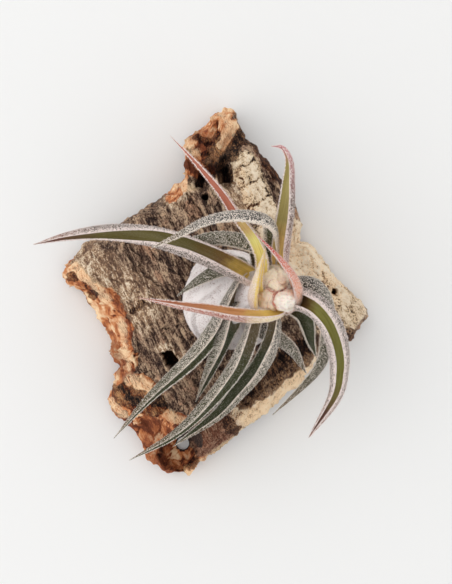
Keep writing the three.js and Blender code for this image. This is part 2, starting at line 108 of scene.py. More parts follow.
# Sides of the bark with a slope or a look of their own: name, first and last compass angle in
# degrees from +X, width of the slope between rim and top, and look.
TORN_SIDES = [
    ("upper left side", 145, 170, 8.5, "weathered"),
    ("left side", 170, 252, 8.5, "torn"),
    ("peak", 88, 114, 5.5, "torn"),
    ("left of the peak", 114, 128, 5.5, "weathered"),
    ("bottom", 252, 270, 4, "torn"),
    ("bottom block", 270, 285, 4, "weathered"),
    ("cut lower right side", 285, 322, 6.5, "pale"),
]
WEATHERED_SLOPE = 2.6
SECTOR_BLEND = 9
OUTLINE_NICK = 0.7
# The borders between the looks run more ragged below SIDE_WALL_TOP, and the patches of painted shade and
# dark stain, of red-brown cork, of cream cork with painted highlight and of tan cork end at PATCH_FLOOR.
SIDE_WALL_TOP = 12
PATCH_FLOOR = 3

# Fresh orange cork where the bark was torn
TORN_PATCHES = [
    ("peak", (-4, 44), (2, 57), 9),
    ("shoulder of the peak", (-8, 40), (-5, 50), 5),
    ("splinter", (8.4, 55), (1.4, 44), 3.1),
    ("bottom corner", (-17, -46), (-9, -57), 9),
    ("upper left ledge", (-44, 6), (-35, -3), 4.5),
    ("left strip", (-33, -4), (-29, -12), 6.5),
    ("lower left strip", (-29, -13), (-27, -25), 5.5),
    ("lower left scoop", (-25, -28.5), (-19.5, -31.5), 4.5),
    ("orange tongue", (-20, -40), (-10, -42.5), 4.5),
    ("lower left edge", (-33.5, -34), (-28, -43), 4),
]
# Weathered cork that stays between the torn and the pale
WORN_PATCHES = [
    ("bottom block", (-2.5, -50.6), (6.5, -43.6), 4.8),
]
# Deep red-brown cork inside the torn areas, and bright cream cork on their ledges and raised edges, its
# brightness partly painted highlight.
RUDDY_PATCHES = [
    ("inside the peak", (-3, 52), (1.5, 49), 4.5),
    ("below the peak", (-4, 41), (1, 40), 3.5),
    ("left recess", (-31, -18), (-28, -25), 3.5),
    ("bottom corner", (-19, -46), (-14, -57), 6),
    ("bottom block", (-3, -51), (6.5, -43.6), 6),
    ("right rim", (17, 47), (29, 31), 3),
    ("left edge", (-36, -14), (-31, -24), 4),
]
CREAM_HIGHLIGHT_PATCHES = [
    ("upper left ledge", (-43, 8), (-33, -2), 2.4),
    ("left strip", (-28.5, -9), (-25.5, -25), 1.1),
    ("upper scoop", (-25, -28.5), (-20, -31.5), 3.4),
    ("lower scoop", (-32, -36), (-28, -41), 1.6),
    ("tongue", (-12, -39.5), (-8, -43), 1.8),
    ("ledge left of the peak", (-8, 47), (-4, 46), 2.6),
    ("lowest ledge left of the peak", (-9.5, 37), (-5, 34), 1.8),
    ("splinter", (8.4, 54.5), (1.6, 43.5), 2.6),
    ("bottom edge", (-4, -58.5), (8, -49), 1.6),
    ("top of the peak", (4, 60), (6, 56), 1.6),
    ("cut strip", (13, -41.5), (32, -27), 3),
]
# Warmer, crumbly parts of the weathered and of the pale cork
TAN_PATCHES = [
    ("upper left corner", (-42, 9), (-24, -4), 12),
    ("above the square pit", (-16, -18), (-10, -20), 3),
    ("left of the tall block", (-12, 30), (-4, 35), 3),
    ("lobe", (26, 14), (38, 2), 11),
    ("shoulder beside the ridge", (7, 35.5), (12, 25), 6.5),
    ("cut strip", (11, -41), (33, -24), 6),
]
# Pale cork
PALE_PATCHES = [
    ("block ridge", (12.2, 41.4), (20.5, 20), 6.2),
    ("cut strip", (11, -41), (33, -24), 5),
    ("lobe", (27, 14), (42, -4), 14),
    ("below the ridge", (21, 20), (26, 15), 6),
]
# Rows of blocks raised along a line, with cracks a pitch apart across it and broad apart along it.
# aside moves the long ones by a share of broad, and crack is a share of the depth in the settings.
BLOCK_ROWS = [
    {
        "name": "block ridge", "line": ((12.2, 41.4), (20.5, 20)),
        "width": 4.8, "pitch": 6.4, "broad": 9, "aside": 0.3, "crack": 0.9,
    },
    {
        "name": "cut strip", "line": ((12, -41), (32, -25)),
        "width": 3.6, "pitch": 4.6, "broad": 5.6, "aside": 0.2, "crack": 0.4,
    },
]
# How far the rows' cracks wander, slant and are staggered, and how wide a border and a crack are
BLOCK_WANDER = 1.3
BLOCK_SKEW = 0.18
BLOCK_STAGGER = 0.3
BLOCK_BORDER = 0.9
BLOCK_CRACK_WIDTH = 0.65

# Dark patches: painted shade in the hollows and crevices, beside and below the splinter, on the lower
# slope and under the orange leaf's tip, and dark stains such as the lobe's brown nub. The material darkens
# them all with the shadow tint.
SHADE_AND_STAIN_PATCHES = [
    ("rim behind the ridge", (16, 49), (28, 32), 3),
    ("hollow below the splinter", (1.5, 44.5), (6, 39), 4.4),
    ("beside the splinter", (12.8, 53.2), (7.2, 44.6), 3.2),
    ("left of the splinter", (-3, 50.6), (0.6, 49), 2.2),
    ("under the splinter's edge", (-1, 45), (3.4, 51.6), 1.5),
    ("left recess", (-44.8, 5.6), (-43.4, 4.6), 1.5),
    ("left crevice", (-40.5, 1.6), (-37.4, -1.8), 1.2),
    ("lower slope", (31, -20), (12, -33.5), 5.6),
    ("plate above the bottom", (-28, -33.5), (-17, -37), 5),
    ("bottom block end", (7, -42), (9, -44.5), 3),
    ("bottom hollow", (-12, -52), (-7, -56), 5),
    ("lobe's brown nub", (45.5, -13.5), (47, -14.5), 3.5),
    ("crack by the orange leaf", (-24.6, -6.6), (-21.6, -3.6), 1),
]
# Ragged pits in the top face: name, middle, half of the width and of the length, turn in degrees,
# and height of the floor.
BARK_PITS = [
    ("square pit", (-11.6, -21.6), (1.7, 2.5), 35, 13),
    ("right pinhole", (42, 0.4), (0.8, 1), 0, 10),
    ("pit left of the peak", (-2.2, 36.6), (1.3, 2.1), -10, 11),
    ("pit by the ridge", (6.4, 38.6), (1.2, 2.3), 10, 10),
    ("small pit", (-0.6, 31.2), (1, 0.9), 0, 14),
]
# How ragged and how square the pits are, and how far in their walls slope
PIT_RAGGED = 0.4
PIT_CORNERS = 4
PIT_WALL = 0.4
# The hole that is cut right through: its middle at the height level, the heights that the cut runs
# between, its radius at the lower end, how much wider it gets for each millimetre up, and how far
# aside it leans for each millimetre down.
THROUGH_HOLE = {
    "at": (-8.2, -50.2), "level": 9.5, "from": -1, "to": 26, "radius": 1.9, "flare": 0.2,
    "lean": (-0.03, -0.11), "sides": 22,
}
# Noise of the bark's surface and of the borders on it: size of its features across the grain, along
# it and upwards, or else along X, Y and Z, how many octaves it has, and its seed
BARK_NOISE = {
    "fibre": ((1, 3.4, 1.6), 3, 0.0),
    "strand": ((0.9, 8, 2), 2, 41.0),
    "lump": ((3, 6.5, 4), 3, 3.0),
    "fissure": ((3.6, 10, 5), 3, 7.0),
    "grit": ((0.9, 1.1, 0.9), 2, 5.0),
    "bend": ((4, 6, 5), 3, 19.0),
    "border": ((3.6, 3.6, 9), 3, 21.0),
    "low border": ((6, 6, 4), 3, 33.0),
    "nick": ((1.8, 1.8, 2.5), 3, 29.0),
    "pit": ((1.6, 1.6, 4), 3, 17.0),
    "row wander": ((3, 3, 6), 3, 31.0),
    "row gaps": ((3.5, 3.5, 9), 2, 37.0),
}
# Cells of the torn and of the crumbly cork: size across the grain, along it and upwards, and seed
BARK_CELLS = {
    "flake": ((4.6, 9, 7), 9.0),
    "chip": ((1.8, 4, 3), 13.0),
    "crumb": ((2, 2.6, 2), 23.0),
}

# Swollen base of overlapping leaf sheaths
BULB_AXIS = [[7.4, -4, 19.4], [8.4, -2.2, 32], [14, -0.2, 45], [20.5, 0.4, 55.5]]
BULB_RADII = [0, 9.8, 13.7, 15.4, 15.7, 15.2, 13.8, 11.9, 10, 8.5, 7.5, 6.8, 5.6, 0]
BULB_SIDES = 168
BULB_RINGS = 110
SHEATH_COUNT = 4
SHEATH_TURN = 1.9
SHEATH_WAVER = 0.05
BULB_SCALE_COUNT = 15000

# Bracts packed into a bud, each a dome in the crown. bare is how free of frost it is, from 0 to 1.
BUD_DOMES = [
    {
        "name": "bud_cream", "at": (21, 4, 56.6), "radii": (3.6, 3.9, 6.2),
        "folds": 3, "bare": 0, "hairs": 4200,
    },
    {
        "name": "bud_pearl", "at": (23.8, -2, 56.4), "radii": (3.8, 3.5, 6.3),
        "folds": 1, "bare": 0.9, "hairs": 500,
    },
    {
        "name": "bud_peach", "at": (19.8, -0.6, 54.4), "radii": (4.3, 5.2, 5.2),
        "folds": 4, "bare": 0, "hairs": 4200,
    },
]
BUD_SIDES = 72
BUD_RINGS = 48
BUD_PUFF_SIZE = 0.5

# Leaf section
LEAF_STATIONS = 92
SECTION_STEPS = 16
MIDRIB_THICKNESS = 1.3
MARGIN_THICKNESS = 0.34
MARGIN_EDGE = 0.1
THICKNESS_PER_BREADTH = 0.26
THINNEST_MIDRIB = 0.25
TIGHTEST_CHANNEL = 0.75
CHANNEL_AT_ROOT = 60
CHANNEL_SETTLES = 0.35
TIP_POWER = 1.1
LAST_STATION = 0.992
STATION_POWER = 0.95
ROOT_CAP = 0.3
MARGIN_STARTS = 0.86
MARGIN_WAVE = 0.05
AVERAGE_LEAF_AREA = 310
VEIN_TINT = (0.74, 0.71, 0.64)

# Silver scales: how far a scale is raised, scattered and twisted against the surface's own
# directions, how deep its foot is sunk, and the spread of lengths and widths round the settings
SCALE_LIFT = 0.75
SCALE_SPREAD = 0.38
SCALE_TWIST = 0.05
SCALE_SUNK = 0.05
SCALE_LENGTHS = (0.5, 1.15)
SCALE_WIDTHS = (0.7, 1.2)
SCALE_THICKNESS = 0.4

# Each leaf runs from its root in the crown along path, its channel open towards face, first at the
# root and then at the tip. channel is how far round, in degrees, the section curls on each side,
# and channel_at_root is the curl it starts with where that isn't the usual one. depth is how much
# deeper the section is than the curl makes it.
LEAVES = [
    {
        "name": "bract_pink", "finish": "pink", "breadth": 7.2, "taper": 1.3, "channel": 84,
        "path": [(24.8, -3.4, 50), (27, -1.6, 55.5), (26.6, 2, 61.5), (24.3, 6.2, 67), (20, 11.4, 70.5),
                 (14.4, 17.2, 71)],
        "face": [(-1, 0.1, 0.45), (-0.7, -0.5, -0.1)],
    },
    {
        "name": "leaf_inner_folded", "finish": "cream", "breadth": 7.2, "taper": 1.2, "channel": 105,
        "path": [(16.2, -4.4, 51.5), (15, -1.2, 58.5), (15.9, 5.2, 64.5), (17.7, 12.8, 69.5)],
        "face": [(1, -0.1, 0.45), (1, 0, 0.6)],
    },
    {
        "name": "leaf_red_spear", "finish": "red", "breadth": 3.9, "taper": 1.9, "channel": 84,
        "path": [(18, 2.6, 51), (17.2, 6.6, 57.5), (16.6, 11.2, 62), (14, 16.5, 64.5), (9.5, 22.2, 66),
                 (4.8, 29, 68.5), (-2.2, 37, 72), (-9.7, 44.7, 75)],
        "face": [(-0.3, -1, 0.6), (-0.3, -0.2, 1)],
    },
    {
        "name": "leaf_orange_left", "finish": "orange", "breadth": 4.4, "taper": 2.2, "channel": 112,
        "path": [(21.5, -3.4, 51), (21.6, -6, 56), (16.5, -7, 59.3), (9, -6.5, 61.5), (2, -5.2, 61.5),
                 (-7.5, -3.7, 60), (-20, -1.5, 56)],
        "face": [(0, 1, 0.6), (0.1, 0.75, 0.65)],
    },
    {
        "name": "leaf_long_left", "finish": "long", "breadth": 5.8, "taper": 3, "channel": 140,
        "channel_at_root": 100,
        "path": [(17.6, 2, 49.5), (13, 4.8, 53.8), (7, 8, 57.5), (-0.5, 11.5, 59.5), (-8, 14.5, 59),
                 (-17, 17, 56), (-29, 18.3, 50.5), (-41.5, 17.5, 44), (-54, 15, 38)],
        "face": [(0.3, 0.8, 0.9), (-0.05, -0.95, 0.7)],
    },
    {
        "name": "leaf_silver_arch", "finish": "silver", "breadth": 4.8, "taper": 2.4, "channel": 90,
        "path": [(19.4, 3.4, 48), (19.6, 9.4, 53), (19.8, 14.8, 60.5), (18.6, 19.8, 68.5),
                 (14.5, 21.7, 72.5), (7.5, 22, 73), (0, 20.5, 70), (-7, 17.2, 66), (-16, 13, 61)],
        "face": [(-0.6, -1, 0.1), (0, -0.4, -1)],
    },
    {
        "name": "leaf_tall_right", "finish": "tall", "breadth": 4.9, "taper": 3.6, "channel": 118,
        "path": [(22, 2.4, 49.5), (22.6, 6.8, 54), (22.4, 11.2, 58.8), (22.8, 16.7, 64), (23.7, 24, 69),
                 (24.2, 31, 72), (24.3, 37.5, 73), (22.4, 41.4, 73), (19, 42, 72)],
        "face": [(-0.5, -0.6, 0.8), (-0.85, -0.35, 0.35)],
    },
    {
        "name": "leaf_long_right", "finish": "wide", "breadth": 6.2, "taper": 2.9, "channel": 154,
        "channel_at_root": 140,
        "path": [(23.6, -1.2, 49.5), (27.2, -1.6, 55.2), (30.6, -2.8, 59.2), (33.8, -5, 60.2),
                 (37.2, -9.4, 58.6), (39.8, -15.8, 53.4), (40.9, -23.5, 46.5), (39.8, -33, 38.5),
                 (32.5, -46.5, 28)],
        "face": [(-0.15, 0, 1), (-0.1, 0.05, 1)],
    },
    {
        "name": "leaf_behind_right", "finish": "green", "breadth": 5.2, "taper": 2.6, "channel": 95,
        "depth": 1.1,
        "path": [(22, 1.6, 46), (27, 3.2, 50), (31.2, 3, 53), (34.8, 0.4, 53), (37, -5, 49.8),
                 (37.4, -12.2, 44), (34.9, -23.8, 36.5), (21, -39.4, 26)],
        "face": [(-0.4, -0.6, -0.5), (-0.75, 0.5, -0.3)],
    },
    {
        "name": "leaf_lower_left_1", "finish": "green", "breadth": 5.4, "taper": 2.3, "channel": 112,
        "depth": 1.2,
        "path": [(14.4, 4, 46), (11.6, 3.8, 50.6), (8.8, 0, 52.8), (6.2, -5, 51.2), (2, -12.7, 46.2),
                 (-5.4, -21.7, 39), (-18, -33.4, 31), (-30, -47, 24.5)],
        "face": [(0.8, -0.3, 0.5), (0.66, -0.55, 0.62)],
    },
    {
        "name": "leaf_lower_left_2", "finish": "green", "breadth": 6.4, "taper": 2.3, "channel": 104,
        "depth": 1.1,
        "path": [(14.5, -1.5, 46), (9.6, -5.2, 50), (7, -10.5, 47), (3.8, -18.3, 40), (-3.5, -35, 27)],
        "face": [(0.78, -0.36, 0.5), (0.76, -0.36, 0.52)],
    },
    {
        "name": "leaf_lower_left_3", "finish": "green", "breadth": 5.8, "taper": 2.6, "channel": 106,
        "depth": 1.05,
        "path": [(17, -2.4, 47.5), (15, -7.4, 51.2), (13, -14, 47.8), (8.8, -23.7, 41), (0, -35.5, 34),
                 (-10.3, -45.4, 28.5), (-25, -54, 25)],
        "face": [(0.8, -0.5, 0.5), (0.68, -0.5, 0.54)],
    },
    {
        "name": "leaf_lower_left_4", "finish": "green", "breadth": 6, "taper": 2.6, "channel": 106,
        "depth": 1.05,
        "path": [(19.5, -2.6, 48), (20.8, -7.8, 50.8), (20.4, -14, 46.8), (16.9, -22.7, 40),
                 (10, -31.4, 34.5), (3, -39.2, 30), (-11, -49.5, 25.5)],
        "face": [(-0.9, 0.2, 0.5), (-0.6, 0.45, 0.62)],
    },
    {
        "name": "leaf_small_right", "finish": "green", "breadth": 5.4, "taper": 2, "channel": 96,
        "path": [(20, -1.6, 45), (25.6, -3.6, 47.6), (29.6, -6.4, 46), (31.4, -10.5, 42),
                 (32.8, -15.5, 36.5), (34.9, -20.5, 30.5)],
        "face": [(0.2, -0.2, 1), (0.1, 0.1, 1)],
    },
    {
        "name": "leaf_small_lower", "finish": "green", "breadth": 6.2, "taper": 2, "channel": 66,
        "path": [(13, -5.6, 38), (17, -11.4, 41.6), (22.4, -14.6, 40.4), (27, -18.4, 36.4),
                 (32, -26, 28)],
        "face": [(0.3, 0.4, -0.9), (0.5, 0.5, -0.7)],
    },
    {
        "name": "leaf_behind_arch", "finish": "green", "breadth": 7, "taper": 2.2, "channel": 84,
        "path": [(17.5, 4, 45), (17.2, 10, 50.5), (13.4, 14.6, 54.5), (6, 16.4, 55.5), (-1.5, 16, 53.5),
                 (-12, 13.8, 49)],
        "face": [(0, -1, 0), (0, -0.35, -1)],
    },
    {
        "name": "leaf_short_on_bulb", "finish": "dusky", "breadth": 7.6, "taper": 1.2, "channel": 50,
        "path": [(12.4, 6.5, 42), (9.6, 8.4, 47), (4.5, 7.2, 48.6), (-2.6, 3.6, 46), (-9, -1, 40)],
        "face": [(0.2, -0.4, -1), (0.3, -0.2, -1)],
    },
]

# The finishes of the leaves. channel and back are skin colours, each at its share of the leaf's length,
# and edge is the skin of the margin; the dark brown near the root of the long and wide channels, and the
# darker, less frosted finish of the short leaf on the swollen base, are painted shade. frost is how much
# of the channel, of the back near the root and of the back near the tip it covers. The frosted band beside
# the margin begins at band. scales is how many there are for each on a dark leaf, and tint their colour.
FINISHES = {
    "pink": {
        "channel": [(0.1, "peach_blade"), (0.5, "peach_blade"), (0.9, "crimson_tip")],
        "back": [(0.2, "peach_blade"), (0.5, "coral_blade"), (0.85, "crimson_tip")],
        "frost": (0.02, 0.3, 0.2), "band": 0.86, "scales": 0.8, "tint": "rosy_frost", "slot": "bract",
    },
    "cream": {
        "channel": [(0.1, "yellow_root"), (0.5, "cream_blade")],
        "back": [(0.1, "pale_root"), (0.6, "cream_blade")], "edge": "yellow_root",
        "frost": (0.06, 0.5, 0.3), "band": 0.9, "scales": 1.2, "tint": "rosy_frost", "slot": "young_leaf",
    },
    "red": {
        "channel": [(0.12, "yellow_root"), (0.34, "lime_root"), (0.48, "brick_blade"), (0.9, "brick_tip")],
        "back": [(0.12, "yellow_root"), (0.34, "lime_root"), (0.48, "brick_blade"), (0.9, "brick_tip")],
        "frost": (0.02, 0.2, 0.26), "band": 0.8, "scales": 0.7, "tint": "rosy_frost", "slot": "red_leaf",
    },
    "orange": {
        "channel": [(0.2, "yellow_root"), (0.36, "amber_blade"), (0.9, "brick_blade")],
        "back": [(0.24, "cream_blade"), (0.4, "mauve_blade"), (0.9, "brick_blade")],
        "frost": (0.03, 0.26, 0.3), "band": 0.84, "scales": 0.7, "tint": "rosy_frost",
        "slot": "young_leaf",
    },
    # Painted shade: the long and wide channels turn dark brown near the root, deep in the crown.
    "long": {
        "channel": [(0.08, "yellow_root"), (0.2, "shaded_root"), (0.34, "olive_blade"),
                    (0.72, "olive_blade"), (0.9, "mauve_tip")],
        "back": [(0.06, "pale_root"), (0.16, "grey_back"), (0.7, "grey_back"), (0.92, "mauve_tip")],
        "frost": (0.03, 0.32, 0.28), "band": 0.86, "scales": 1, "tint": "rosy_frost", "slot": "leaf",
    },
    "tall": {
        "channel": [(0.12, "golden_root"), (0.34, "golden_root"), (0.5, "olive_pale"), (0.8, "olive_pale"),
                    (0.95, "pink_tip")],
        "back": [(0.2, "rose_back"), (0.6, "grey_back"), (0.92, "pink_tip")],
        "frost": (0.02, 0.32, 0.28), "band": 0.88, "scales": 0.9, "tint": "rosy_frost", "slot": "leaf",
    },
    "wide": {
        "channel": [(0.06, "brown_tip"), (0.14, "shaded_root"), (0.24, "lime_blade"), (0.66, "lime_blade"),
                    (0.86, "mauve_tip")],
        "back": [(0.05, "pale_root"), (0.14, "grey_back"), (0.65, "grey_back"), (0.88, "mauve_tip")],
        "frost": (0.02, 0.34, 0.3), "band": 0.88, "scales": 1, "tint": "rosy_frost", "slot": "leaf",
    },
    "silver": {
        "channel": [(0.1, "green_blade"), (0.9, "green_blade")],
        "back": [(0.1, "silver_back"), (0.7, "silver_back"), (0.95, "brown_tip")],
        "frost": (0.1, 0.4, 0.28), "band": 0.55, "scales": 1.2, "tint": "frost", "slot": "leaf",
    },
    "green": {
        "channel": [(0.12, "brown_tip"), (0.36, "green_blade"), (0.9, "green_blade")],
        "back": [(0.1, "silver_back"), (0.4, "green_back"), (0.7, "green_back"), (0.95, "brown_tip")],
        "frost": (0.05, 0.3, 0.1), "band": 0.92, "scales": 1, "tint": "frost", "slot": "leaf",
    },
    # Painted shade: a darker copy of the green finish with less frost, for the short leaf that lies in
    # shadow over the swollen base.
    "dusky": {
        "channel": [(0.1, "green_blade"), (0.9, "green_blade")],
        "back": [(0.1, "green_back"), (0.9, "green_back")],
        "frost": (0.05, 0.12, 0.14), "band": 0.86, "scales": 0.35, "tint": "frost", "slot": "leaf",
    },
}


def srgb(code):
    """A colour code of six hexadecimal digits as scene-linear red, green and blue."""
    parts = [int(code[i:i + 2], 16) / 255 for i in (0, 2, 4)]
    return tuple(p / 12.92 if p <= 0.04045 else ((p + 0.055) / 1.055) ** 2.4 for p in parts)


def colour(name, description, code):
    """A colour property with its default."""
    return FloatVectorProperty(
        name=name, description=description, default=srgb(code), subtype="COLOR", min=0, max=1)


def length(name, description, millimetres):
    """A length property with its default."""
    return FloatProperty(name=name, description=description, default=millimetres * MM,
                         min=0, unit="LENGTH", precision=5)


# Settings

class BarkSettings(bpy.types.PropertyGroup):
    fibre_height: length("Fibre height", "How far the weathered fibres stand out", 0.4)
    fissure_depth: length("Fissure depth", "How deep the cracks along the grain go", 0.8)
    torn_height: length("Torn relief", "How far the torn cork stands out and in", 1.2)
    block_crack_depth: length("Block cracks", "Depth of the cracks across the pale ridge", 0.9)
    weathered_dark: colour("Weathered, dark", "Cracks of the weathered face", "32231e")
    weathered_middle: colour("Weathered", "Grey-brown of the weathered face", "765b4b")
    weathered_light: colour("Weathered, light", "Dry fibres of the weathered face", "d0b394")
    weathered_tan: colour("Weathered, tan", "Crumbly corner of the weathered face", "b69270")
    weathered_rosy: colour("Weathered, rosy", "Worn patches of the weathered face", "8f6555")
    # The torn cork's ramp, which the depth attribute drives, ends in the dark colour as painted shade in
    # its recesses and in the light colour as painted highlight on its raised edges and cream ledges.
    torn_dark: colour("Torn, dark", "Recesses of the torn cork", "5e301d")
    torn_middle: colour("Torn", "Fresh orange cork", "cb7f4c")
    torn_pale_and_highlight: colour("Torn, light", "Raised edges of the torn cork", "fbdab0")
    ruddy: colour("Ruddy", "Red-brown cork inside the torn areas", "914f33")
    pale_dark: colour("Pale, dark", "Pores of the pale cork", "7d6651")
    pale_middle: colour("Pale", "Beige of the lobe and the block ridge", "dabc96")
    pale_golden: colour("Pale, golden", "Crumbly side of the lobe and the cut strip", "fbdab0")
    pale_light: colour("Pale, light", "Chalky spots of the pale cork", "f8e6cc")
    shadow: colour("Shadowed", "Tint of the hollows", "60555a")
    under_side: colour("Underside", "Inner face that lies on the table", "8a5f45")


class PlantSettings(bpy.types.PropertyGroup):
    scale_length: length("Scale length", "Length of a silver leaf scale", 0.42)
    scale_width: length("Scale width", "Width of a silver leaf scale", 0.17)
    fringe_length: length("Fringe length", "Length of the scales that stand out over a margin", 0.5)
    scales_per_leaf: IntProperty(
        name="Scales on a leaf", description="Silver scales on a leaf of average size",
        default=5600, min=0)
    sheath_step: length("Sheath step", "How far each sheath stands over the next", 1.0)
    fleck: length("Fleck", "Spacing of the flecks of frost between the raised scales", 0.3)
    frost: colour("Frost", "Silver scales", "fbf0e4")
    rosy_frost: colour("Rosy frost", "Scales on the long, red, orange and pink leaves", "f9eae4")
    yellow_root: colour("Yellow root", "Young tissue near the crown", "ecce70")
    golden_root: colour("Golden root", "Lower half of the tall leaf", "f6d68c")
    lime_root: colour("Lime root", "Root of the red leaf", "e4da84")
    # Painted shade: the dark brown near the root of the long leaves' channels, deep in the crown.
    shaded_root: colour("Brown root", "Shaded root of the long leaves", "8a6b40")
    pale_root: colour("Pale root", "Pale tissue at the crown", "dcc4b2")
    cream_blade: colour("Cream blade", "Folded inner leaf", "ecd8ac")
    peach_blade: colour("Peach blade", "Pink bract near its root", "eeb592")
    coral_blade: colour("Coral blade", "Pink bract", "e4987c")
    crimson_tip: colour("Crimson tip", "End of the pink bract", "c85652")
    brick_blade: colour("Brick blade", "Outer half of the red leaf", "b56c54")
    brick_tip: colour("Brick tip", "Tip of the red leaf", "bd7460")
    amber_blade: colour("Amber blade", "Channel of the orange leaf", "d29a62")
    mauve_blade: colour("Mauve blade", "Back of the orange leaf", "a4685a")
    olive_blade: colour("Olive blade", "Channel of the long left leaf", "827848")
    olive_pale: colour("Pale olive blade", "Channel of the tall leaf", "b2a468")
    lime_blade: colour("Lime blade", "Channel of the long right leaf", "b0ac62")
    mauve_tip: colour("Mauve tip", "Tips of the long leaves", "90685a")
    pink_tip: colour("Pink tip", "Tip of the tall leaf", "c4898c")
    rose_back: colour("Rose back", "Back of the tall leaf", "a27a6c")
    grey_back: colour("Grey back", "Skin under the frost of the long leaves", "5e5348")
    silver_back: colour("Silver back", "Skin under the frost of the arched leaf", "383532")
    green_blade: colour("Green blade", "Channels of the dark leaves", "474b2e")
    green_back: colour("Green back", "Skin under the frost of the dark leaves", "403d22")
    brown_tip: colour("Brown tip", "Drying tissue", "6a563c")
    sheath_frost: colour("Sheath frost", "Frost of the swollen base", "fff8f6")
    sheath_skin: colour("Sheath skin", "Skin under the frost of the swollen base", "cbb6b0")
    sheath_shade: colour("Sheath shade", "Where one sheath goes under the next", "87706a")
    bud_fold: length("Bud folds", "How far each fold of the bud stands over the next", 0.9)
    bud_puff: length("Bud puffs", "How uneven the folds of the bud are", 0.5)
    bud_cream: colour("Cream bract", "Upper bract of the bud", "fbecd0")
    bud_pearl: colour("Pearl bract", "Lower bract of the bud", "f8ece0")
    bud_peach: colour("Peach bract", "Left bract of the bud", "fce2c8")
    bud_hair: colour("Bud hairs", "Short hairs on the folds of the bud", "fdf0e0")
    bud_slit: colour("Slit", "Between the bracts of the bud", "c04a34")


class StageSettings(bpy.types.PropertyGroup):
    camera_place: FloatVectorProperty(
        name="Camera", description="Camera's place, straight above the plant",
        default=(0.0062, 0.0002, 0.46), subtype="TRANSLATION", unit="LENGTH", precision=4)
    lens: FloatProperty(
        name="Lens", description="Focal length of the camera", default=83.4, min=1, unit="CAMERA")
    floor_width: length("Floor width", "Width of the pale floor", 3000)
    floor_colour: colour("Floor", "Pale table", "f1f1f0")
    sky_colour: colour("Surroundings", "Soft light from all round", "fafafa")
    sky_strength: FloatProperty(
        name="Surroundings strength", description="Strength of the soft light", default=0.97, min=0)
    key_energy: FloatProperty(
        name="Window power", description="Power of the large soft light", default=2.2, min=0,
        unit="POWER")
    key_size: length("Window width", "Width of the large soft light", 1100)
    key_place: FloatVectorProperty(
        name="Window", description="Place of the large soft light",
        default=(-0.62, 0.1, 0.72), subtype="TRANSLATION", unit="LENGTH")


# Noise and masks, on arrays of places in millimetres

def smooth(t):
    t = np.clip(t, 0, 1)
    return t * t * (3 - 2 * t)


def fractal(places, feature, octaves, seed):
    """Smooth noise from about -1 to 1 whose features are about feature long along each axis."""
    scaled = places / np.asarray(feature, float) + seed
    return np.array([noise.fractal(p, 0.9, 2.0, octaves) for p in scaled.tolist()])


def crests(places, feature, octaves, seed):
    """Noise from about -0.6 to 1 with sharp crests between round hollows."""
    return 1 - 2.2 * np.abs(fractal(places, feature, octaves, seed))


def flakes(places, feature, seed):
    """Cells about feature long along each axis: how far each place is from the middle of its cell,
    how far from the next cell, a number from -1 to 1 for its cell and a slope of its own."""
    scaled = places / np.asarray(feature, float) + seed
    found = [noise.voronoi(p) for p in scaled.tolist()]
    near = np.array([distances[0] for distances, _ in found])
    edge = np.array([distances[1] - distances[0] for distances, _ in found])
    middle = np.array([tuple(centres[0]) for _, centres in found])
    own = np.sin(middle @ np.array([97.0, 57.0, 131.0]))
    turn = np.pi * np.sin(middle @ np.array([61.0, 113.0, 37.0]))
    offset = scaled - middle
    return near, edge, own, offset[:, 0] * np.cos(turn) + offset[:, 1] * np.sin(turn)


def distance_to_line(x, y, start, end):
    (ax, ay), (bx, by) = start, end
    run = (bx - ax) ** 2 + (by - ay) ** 2
    along = np.clip(((x - ax) * (bx - ax) + (y - ay) * (by - ay)) / run, 0, 1)
    return np.hypot(x - ax - along * (bx - ax), y - ay - along * (by - ay))


def patches(x, y, listed, ragged):
    """From 0 to 1: how far each place lies in one of the listed patches, with ragged borders."""
    inside = np.zeros(len(x))
    for _, start, end, width in listed:
        reach = (distance_to_line(x, y, start, end) + ragged) / width
        inside = np.maximum(inside, smooth(2 - 2 * reach))
    return inside


def grain_places(points):
    """Places turned so that X runs across the grain, Y along it and Z stays up."""
    flat = points[:, :2]
    return np.column_stack([flat @ ACROSS_GRAIN, flat @ GRAIN, points[:, 2]])


# Curves

def catmull_rom(points, steps):
    """A smooth line through points, with steps places in each span, and the tangent at each."""
    p = np.asarray(points, float)
    p = np.vstack([2 * p[0] - p[1], p, 2 * p[-1] - p[-2]])
    t = np.linspace(0, 1, steps, endpoint=False)[:, None]
    line, tangent = [], []
    for a, b, c, d in zip(p[:-3], p[1:-2], p[2:-1], p[3:]):
        k1, k2, k3 = c - a, 2 * a - 5 * b + 4 * c - d, 3 * (b - c) + d - a
        line.append(b + (k1 * t + k2 * t ** 2 + k3 * t ** 3) / 2)
        tangent.append((k1 + 2 * k2 * t + 3 * k3 * t ** 2) / 2)
    line.append(p[-2][None])
    tangent.append(((p[-1] - p[-3]) / 2)[None])
    return np.vstack(line), np.vstack(tangent)


def along_curve(path, shares):
    """Places and unit tangents at shares of the length of the smooth line through path."""
    line, tangent = catmull_rom(path, 40)
    run = np.concatenate([[0], np.cumsum(np.linalg.norm(np.diff(line, axis=0), axis=1))])
    at = np.asarray(shares) * run[-1]
    place = np.column_stack([np.interp(at, run, line[:, k]) for k in range(3)])
    heading = np.column_stack([np.interp(at, run, tangent[:, k]) for k in range(3)])
    return place, unit(heading)


def unit(vectors):
    return vectors / np.maximum(np.linalg.norm(vectors, axis=-1, keepdims=True), 1e-9)


# Pieces

